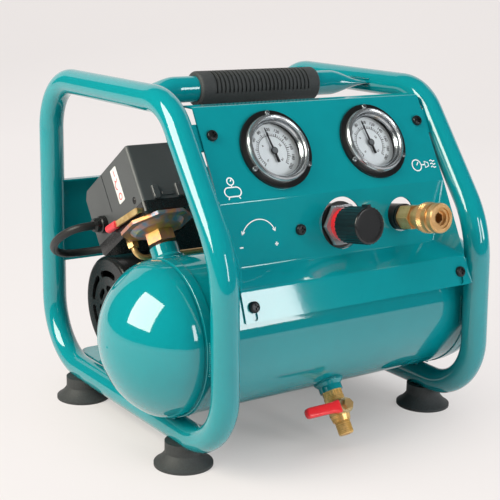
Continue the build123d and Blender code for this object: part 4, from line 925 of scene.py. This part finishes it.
def makeWelds():
    tank, tongue, plate, leg, back = (welds[k] for k in ("tank", "tongue", "plate", "leg", "back"))
    thin = [bungRing(x, angle, r + welds["bungLeg"]) for x, angle, r in welds["bungs"]]
    thick = []
    for side in (-1, 1):
        for lift in (-1, 1):
            z = welds["topZ"] + lift * tongue["off"]
            thick.append(seam((side * tongue["x"], tongue["y"], z), (0, 1, 0), tongue["long"]))
        for y in plate["spots"]:
            thin.append(seam((side * plate["x"], y, plate["z"]), (0, 1, 0), plate["long"]))
        for z in back["spots"]:
            thin.append(seam((side * back["x"], back["y"], z), (0, 0, 1), back["long"]))
        for off in (-leg["off"], leg["off"]):
            x = side * welds["hoopX"] + off
            dip = math.sqrt(welds["hoopR"] ** 2 - off ** 2)
            legPath = []
            railPath = []
            for i in range(leg["steps"] + 1):
                along = leg["long"] * (i / leg["steps"] - 0.5)
                wall = math.sqrt(tank["r"] ** 2 - along ** 2)
                legPath.append((x, (tank["y"] - wall + leg["y"] + dip) / 2, tank["z"] + along))
                railPath.append((x, tank["y"] + along, (tank["z"] - wall + welds["railZ"] + dip) / 2))
            thick += [(legPath, False), (railPath, False)]
    parts = []
    for paths, wide in ((thin, welds["thin"]), (thick, welds["thick"])):
        sizes = {"Pitch": welds["pitch"] * wide, "Thick": wide, "Flat": welds["flat"],
                 "Uneven": welds["uneven"], "Seed": welds["seed"]}
        bead = runTree(beadTree, sizes, finishes["teal_paint"], lineMesh(paths))
        parts.append((bead, Matrix.Scale(mm, 4)))
    assemble("weld_beads", parts, finishes["teal_paint"])


makeWelds()
print("welds laid")

# coupler: knurled band on its sliding sleeve, and the six-sided mouth inside
coupler = {
    "around": 42, "rows": 5, "radius": 12.34, "low": 34.2, "pitch": 1.05, "wide": 1.05, "high": 0.75,
    "mouth": {"outer": 6.05, "across": 8.0, "face": 47.6, "deep": 3.0, "steps": 36},
}


def makeKnurl():
    names = ("Around", "Rows", "Radius", "Low", "Pitch", "Wide", "High")
    band = runTree(knurlTree, {name: coupler[name.lower()] for name in names}, finishes["coupler_brass"])
    assemble("coupler_knurl", [(band, couplerSeat)], finishes["coupler_brass"], "coupler_sleeve")


def makeMouth():
    mouth = coupler["mouth"]
    inside = mouth["face"] - mouth["deep"]
    sixth = math.pi / 3
    build = bmesh.new()
    rows = []
    for outer, z in ((True, mouth["face"]), (False, mouth["face"]), (False, inside), (True, inside)):
        row = []
        for i in range(mouth["steps"]):
            angle = 2 * math.pi * i / mouth["steps"]
            lean = (angle + sixth / 2) % sixth - sixth / 2
            r = mouth["outer"] if outer else mouth["across"] / 2 / math.cos(lean)
            row.append(build.verts.new((r * math.cos(angle), r * math.sin(angle), z)))
        rows.append(row)
    skin(build, rows + rows[:1], capped=False)
    bmesh.ops.recalc_face_normals(build, faces=build.faces)
    mesh = plainMesh("coupler_mouth", build)
    assemble("coupler_mouth", [(mesh, couplerSeat)], finishes["coupler_brass"])


makeKnurl()
makeMouth()
print("coupler detailed")

# dipped vinyl sleeve on the drain lever: rows of (along, half width, half height) from the stem to the tip
drainSleeve = {
    "stem": 25.0, "lift": 11.3, "middle": 2.4, "around": 36, "square": 4.0,
    "rows": [(6.9, 5.2, 0.9), (7.1, 5.5, 1.9), (7.8, 5.6, 2.5), (10.0, 5.45, 2.95), (12.5, 5.1, 3.12),
             (15.5, 4.75, 3.15), (20.0, 4.55, 3.15), (30.0, 4.5, 3.15), (37.0, 4.5, 3.15),
             (39.5, 4.35, 3.1), (41.0, 3.8, 2.9), (41.9, 2.8, 2.3), (42.3, 1.4, 1.2)],
}


def makeDrainSleeve():
    build = bmesh.new()
    power = 2 / drainSleeve["square"]
    rows = []
    for along, wide, high in drainSleeve["rows"]:
        row = []
        for i in range(drainSleeve["around"]):
            turn = 2 * math.pi * i / drainSleeve["around"]
            c, s = math.cos(turn), math.sin(turn)
            across = math.copysign(abs(c) ** power, c) * wide
            lift = math.copysign(abs(s) ** power, s) * high
            row.append(build.verts.new((-along, across, drainSleeve["middle"] + lift)))
        rows.append(row)
    skin(build, rows)
    bmesh.ops.recalc_face_normals(build, faces=build.faces)
    for face in build.faces:
        face.smooth = True
    stem = shifted(drainSeat, 0, drainSleeve["lift"], drainSleeve["stem"])
    seatOnLever = stem @ Matrix.Rotation(-math.pi / 2, 4, "X")
    mesh = plainMesh("drain_sleeve", build)
    assemble("drain_sleeve", [(mesh, seatOnLever)], finishes["red_plastic"], "drain_lever")


makeDrainSleeve()
print("drain lever dipped")

# small things on the switch box: label with plain marks, clips on the lid's lower edge, lid screw
switchBox = {
    "left": -22.0, "front": -27.0,
    "label": {"back": 4.6, "up": 74.0, "wide": 11.0, "high": 31.0, "thick": 0.25, "round": 1.2, "line": 1.0},
    "marks": {"off": (-10.2, 2.6), "on": (8.0, 13.0), "arc": (3.6, 200.0, 340.0), "arrow": (2.6, 3.0, 5.0)},
    "clips": {"x": (-8.0, 14.0), "up": 51.5, "wide": 6.0, "high": 12.0, "thick": 2.4, "round": 1.1},
    "slot": {"x": 3.0, "up": 49.6, "wide": 11.0, "high": 3.4, "thick": 0.9, "round": 0.5},
    "screw": {"back": -14.3, "up": 51.0, "sunk": 1.2, "head": 2.6, "high": 1.5, "crossWide": 0.8,
              "crossLong": 3.0, "crossDeep": 0.6, "steps": 32},
}


def roundedPlate(sizes, steps=5):
    # plate with round corners and a small bevel round its top
    wide, high, thick, corner = (sizes[k] for k in ("wide", "high", "thick", "round"))
    build = bmesh.new()
    outline = []
    for sx, sy, first in ((1, 1, 0), (-1, 1, 90), (-1, -1, 180), (1, -1, 270)):
        for i in range(steps + 1):
            angle = math.radians(first + 90 * i / steps)
            outline.append((sx * (wide / 2 - corner) + corner * math.cos(angle),
                            sy * (high / 2 - corner) + corner * math.sin(angle)))
    bevel = min(thick * 0.4, corner * 0.5)
    rows = []
    for inset, z in ((0.0, 0.0), (0.0, thick - bevel), (bevel, thick)):
        shareX, shareY = 1 - 2 * inset / wide, 1 - 2 * inset / high
        rows.append([build.verts.new((x * shareX, y * shareY, z)) for x, y in outline])
    skin(build, rows)
    return plainMesh("rounded_plate", build)


def screwHead(screw):
    # domed head with a cross cut, made from its profile turned round
    build = bmesh.new()
    radius, high, steps = screw["head"], screw["high"], screw["steps"]
    quarter = math.pi / 2
    turns = [2 * math.pi * i / steps for i in range(steps)]
    cross = []
    for turn in turns:
        lean = abs((turn + quarter / 2) % quarter - quarter / 2)
        arm = screw["crossLong"] / 2 / math.cos(lean)
        onAxis = lean < 0.01
        cross.append(arm if onAxis else min(arm, screw["crossWide"] / 2 / math.sin(lean)))
    dome = ((1.0, 0.0), (1.0, 0.45), (0.86, 0.8), (0.7, 1.0))  # shares of the radius and the height
    profile = [([radius * share] * steps, high * lift) for share, lift in dome]
    profile += [(cross, high), (cross, high - screw["crossDeep"])]
    rows = []
    for reach, z in profile:
        spots = [(r * math.cos(turn), r * math.sin(turn), z) for r, turn in zip(reach, turns)]
        rows.append([build.verts.new(spot) for spot in spots])
    skin(build, rows)
    return plainMesh("screw_head", build)


def makeSwitchDetails():
    # a frame on two sides of the box: x along the side, y up the box, z out of it
    turnLeft = Matrix(((0, 0, -1, switchBox["left"]), (-1, 0, 0, 0), (0, 1, 0, 0), (0, 0, 0, 1)))
    turnFront = Matrix(((1, 0, 0, 0), (0, 0, -1, switchBox["front"]), (0, 1, 0, 0), (0, 0, 0, 1)))
    leftSide, frontSide = switchSeat @ turnLeft, switchSeat @ turnFront
    label, signs, clips, slot, screw = (switchBox[k] for k in ("label", "marks", "clips", "slot", "screw"))
    labelSeat = shifted(leftSide, -label["back"], label["up"])
    assemble("switch_label", [(roundedPlate(label), labelSeat)], finishes["label"])
    wide, tip, tail = signs["arrow"]
    marks = [
        ring(0, *signs["off"]),
        ([(0, up) for up in signs["on"]], False),
        ring(0, 0, *signs["arc"]),
        ([(-wide, tail), (0, tip), (wide, tail)], False),
    ]
    red = finishes["red_ink"]
    ink = strokes(marks, label["line"], red)
    assemble("switch_marks", [(ink, shifted(labelSeat, 0, 0, label["thick"]))], red)
    clip = roundedPlate(clips)
    parts = [(clip, shifted(frontSide, x, clips["up"])) for x in clips["x"]]
    parts.append((roundedPlate(slot), shifted(frontSide, slot["x"], slot["up"])))
    assemble("switch_clips", parts, finishes["clip_plastic"])
    screwSeat = shifted(leftSide, -screw["back"], screw["up"], -screw["sunk"])
    assemble("switch_lid_screw", [(screwHead(screw), screwSeat)], finishes["black_paint"])


makeSwitchDetails()
print("switch box detailed")

# the paper's lift towards white is small close to the machine and full beyond the reach: a painted shadow
# round the machine
studio = {
    "floor": "#e3dcdb", "tooth": "#e0dad9", "glow": "#f4efed", "near": 0.24, "far": 0.82,
    "reach": (0.05, 0.27), "turn": -34.57,
    "sweep": 0.9, "wide": 7.0, "front": -3.0, "back": 1.8, "high": 3.2, "steps": 16,
}


def makePaper():
    # paper that keeps shadows, lifted towards white where it is seen or mirrored; the lift is smaller close
    # to the machine, which paints a shadow round it on the floor
    material, wire = newMaterial("studio_paper")
    where = place(wire)
    tooth = noise(wire, where, 40.0, 3.0)
    base = tooth.blend(colour(studio["floor"]), colour(studio["tooth"]))
    lit = wire.node("ShaderNodeBsdfDiffuse", sockets={"Color": base})
    glow = wire.node("ShaderNodeEmission", sockets={"Color": colour(studio["glow"]), "Strength": 1.0})
    camera = wire.node("ShaderNodeLightPath", out="Is Camera Ray")
    seen = camera.most(camera.other("Is Glossy Ray")).most(camera.other("Is Transmission Ray"))
    # painted shadow: the white lift fades in over this reach from the machine's centre, and close in only the
    # camera sees a little of it
    pastPaintedShadow = where.length().smooth(*studio["reach"])
    near = camera * (1 - pastPaintedShadow) * studio["near"]
    mixed = wire.node("ShaderNodeMixShader", sockets={0: near + seen * pastPaintedShadow * studio["far"], 1: lit, 2: glow})
    wire.node("ShaderNodeOutputMaterial", sockets={"Surface": mixed})
    return material


def makeBackdrop():
    build = bmesh.new()
    profile = [(studio["front"], 0.0), (studio["back"], 0.0)]
    for i in range(1, studio["steps"] + 1):
        angle = math.pi / 2 * i / studio["steps"]
        profile.append((studio["back"] + studio["sweep"] * math.sin(angle),
                        studio["sweep"] * (1 - math.cos(angle))))
    profile.append((studio["back"] + studio["sweep"], studio["high"]))
    half = studio["wide"] / 2
    rows = [[build.verts.new((x, y, z)) for x in (-half, half)] for y, z in profile]
    for low, high in zip(rows, rows[1:]):
        build.faces.new((low[0], low[1], high[1], high[0]))
    mesh = plainMesh("studio_sweep", build)
    mesh.shade_smooth()
    mesh.transform(Matrix.Rotation(math.radians(studio["turn"]), 4, "Z"))
    mesh.materials.append(makePaper())
    addObject("studio_sweep", mesh)


makeBackdrop()

lamps = {
    "key": {"at": (-1.3, 0.08, 0.91), "look": (0, 0, 0.15), "size": (0.98, 0.98), "watts": 30.0,
            "tint": (1.0, 0.965, 0.84), "mirrored": True},
    "strip": {"at": (0.80, -1.53, 0.63), "look": (-0.07, -0.14, 0.15), "size": (0.3, 0.46), "watts": 3.8,
              "tint": (1.0, 0.99, 0.98), "mirrored": True},
    "front": {"at": (0.15, -1.9, 0.75), "look": (0, 0, 0.15), "size": (0.32, 0.7), "watts": 5.5,
              "tint": (1.0, 0.99, 0.97), "mirrored": True},
    "frontFill": {"at": (0.9, -1.8, 0.4), "look": (0.05, 0, 0.1), "size": (1.4, 0.7), "watts": 12.0,
                  "tint": (0.95, 0.98, 1.0), "mirrored": False},
    "rightFill": {"at": (1.9, -0.2, 0.8), "look": (0, 0, 0.12), "size": (1.2, 1.0), "watts": 9.0,
                  "tint": (0.95, 0.99, 1.0), "mirrored": False},
    "rearFill": {"at": (0.5, 1.9, 1.0), "look": (0, 0, 0.15), "size": (1.4, 1.0), "watts": 9.0,
                 "tint": (1.0, 0.99, 0.98), "mirrored": False},
    "over": {"at": (0.0, -0.2, 2.2), "look": (0, 0, 0), "size": (2.4, 2.4), "watts": 22.0,
             "tint": (0.96, 0.98, 1.0), "mirrored": False},
}
air = {"tint": "#e4e2e1", "fill": 0.26, "mirrored": 0.07, "seen": 1.0}


def makeLamps():
    for name, lamp in lamps.items():
        data = bpy.data.lights.new(name, "AREA")
        data.shape = "RECTANGLE"
        data.size, data.size_y = lamp["size"]
        data.energy = lamp["watts"]
        data.color = lamp["tint"]
        light = addObject(name, data)
        light.location = lamp["at"]
        aim = Vector(lamp["look"]) - Vector(lamp["at"])
        light.rotation_euler = aim.to_track_quat("-Z", "Y").to_euler()
        light.visible_glossy = lamp["mirrored"]
    world = bpy.data.worlds.new("studio_air")
    bpy.context.scene.world = world
    world.use_nodes = True
    world.node_tree.nodes.clear()
    wire = Wire(world.node_tree)
    glossy = wire.node("ShaderNodeLightPath", out="Is Glossy Ray")
    seen = glossy.other("Is Camera Ray").most(glossy.other("Is Transmission Ray"))
    level = air["fill"] - glossy * (air["fill"] - air["mirrored"]) + seen * (air["seen"] - air["fill"])
    back = wire.node("ShaderNodeBackground", sockets={"Color": colour(air["tint"]), "Strength": level})
    wire.node("ShaderNodeOutputWorld", sockets={"Surface": back})


makeLamps()
bpy.context.scene.view_settings.view_transform = "Standard"
print("studio lit")
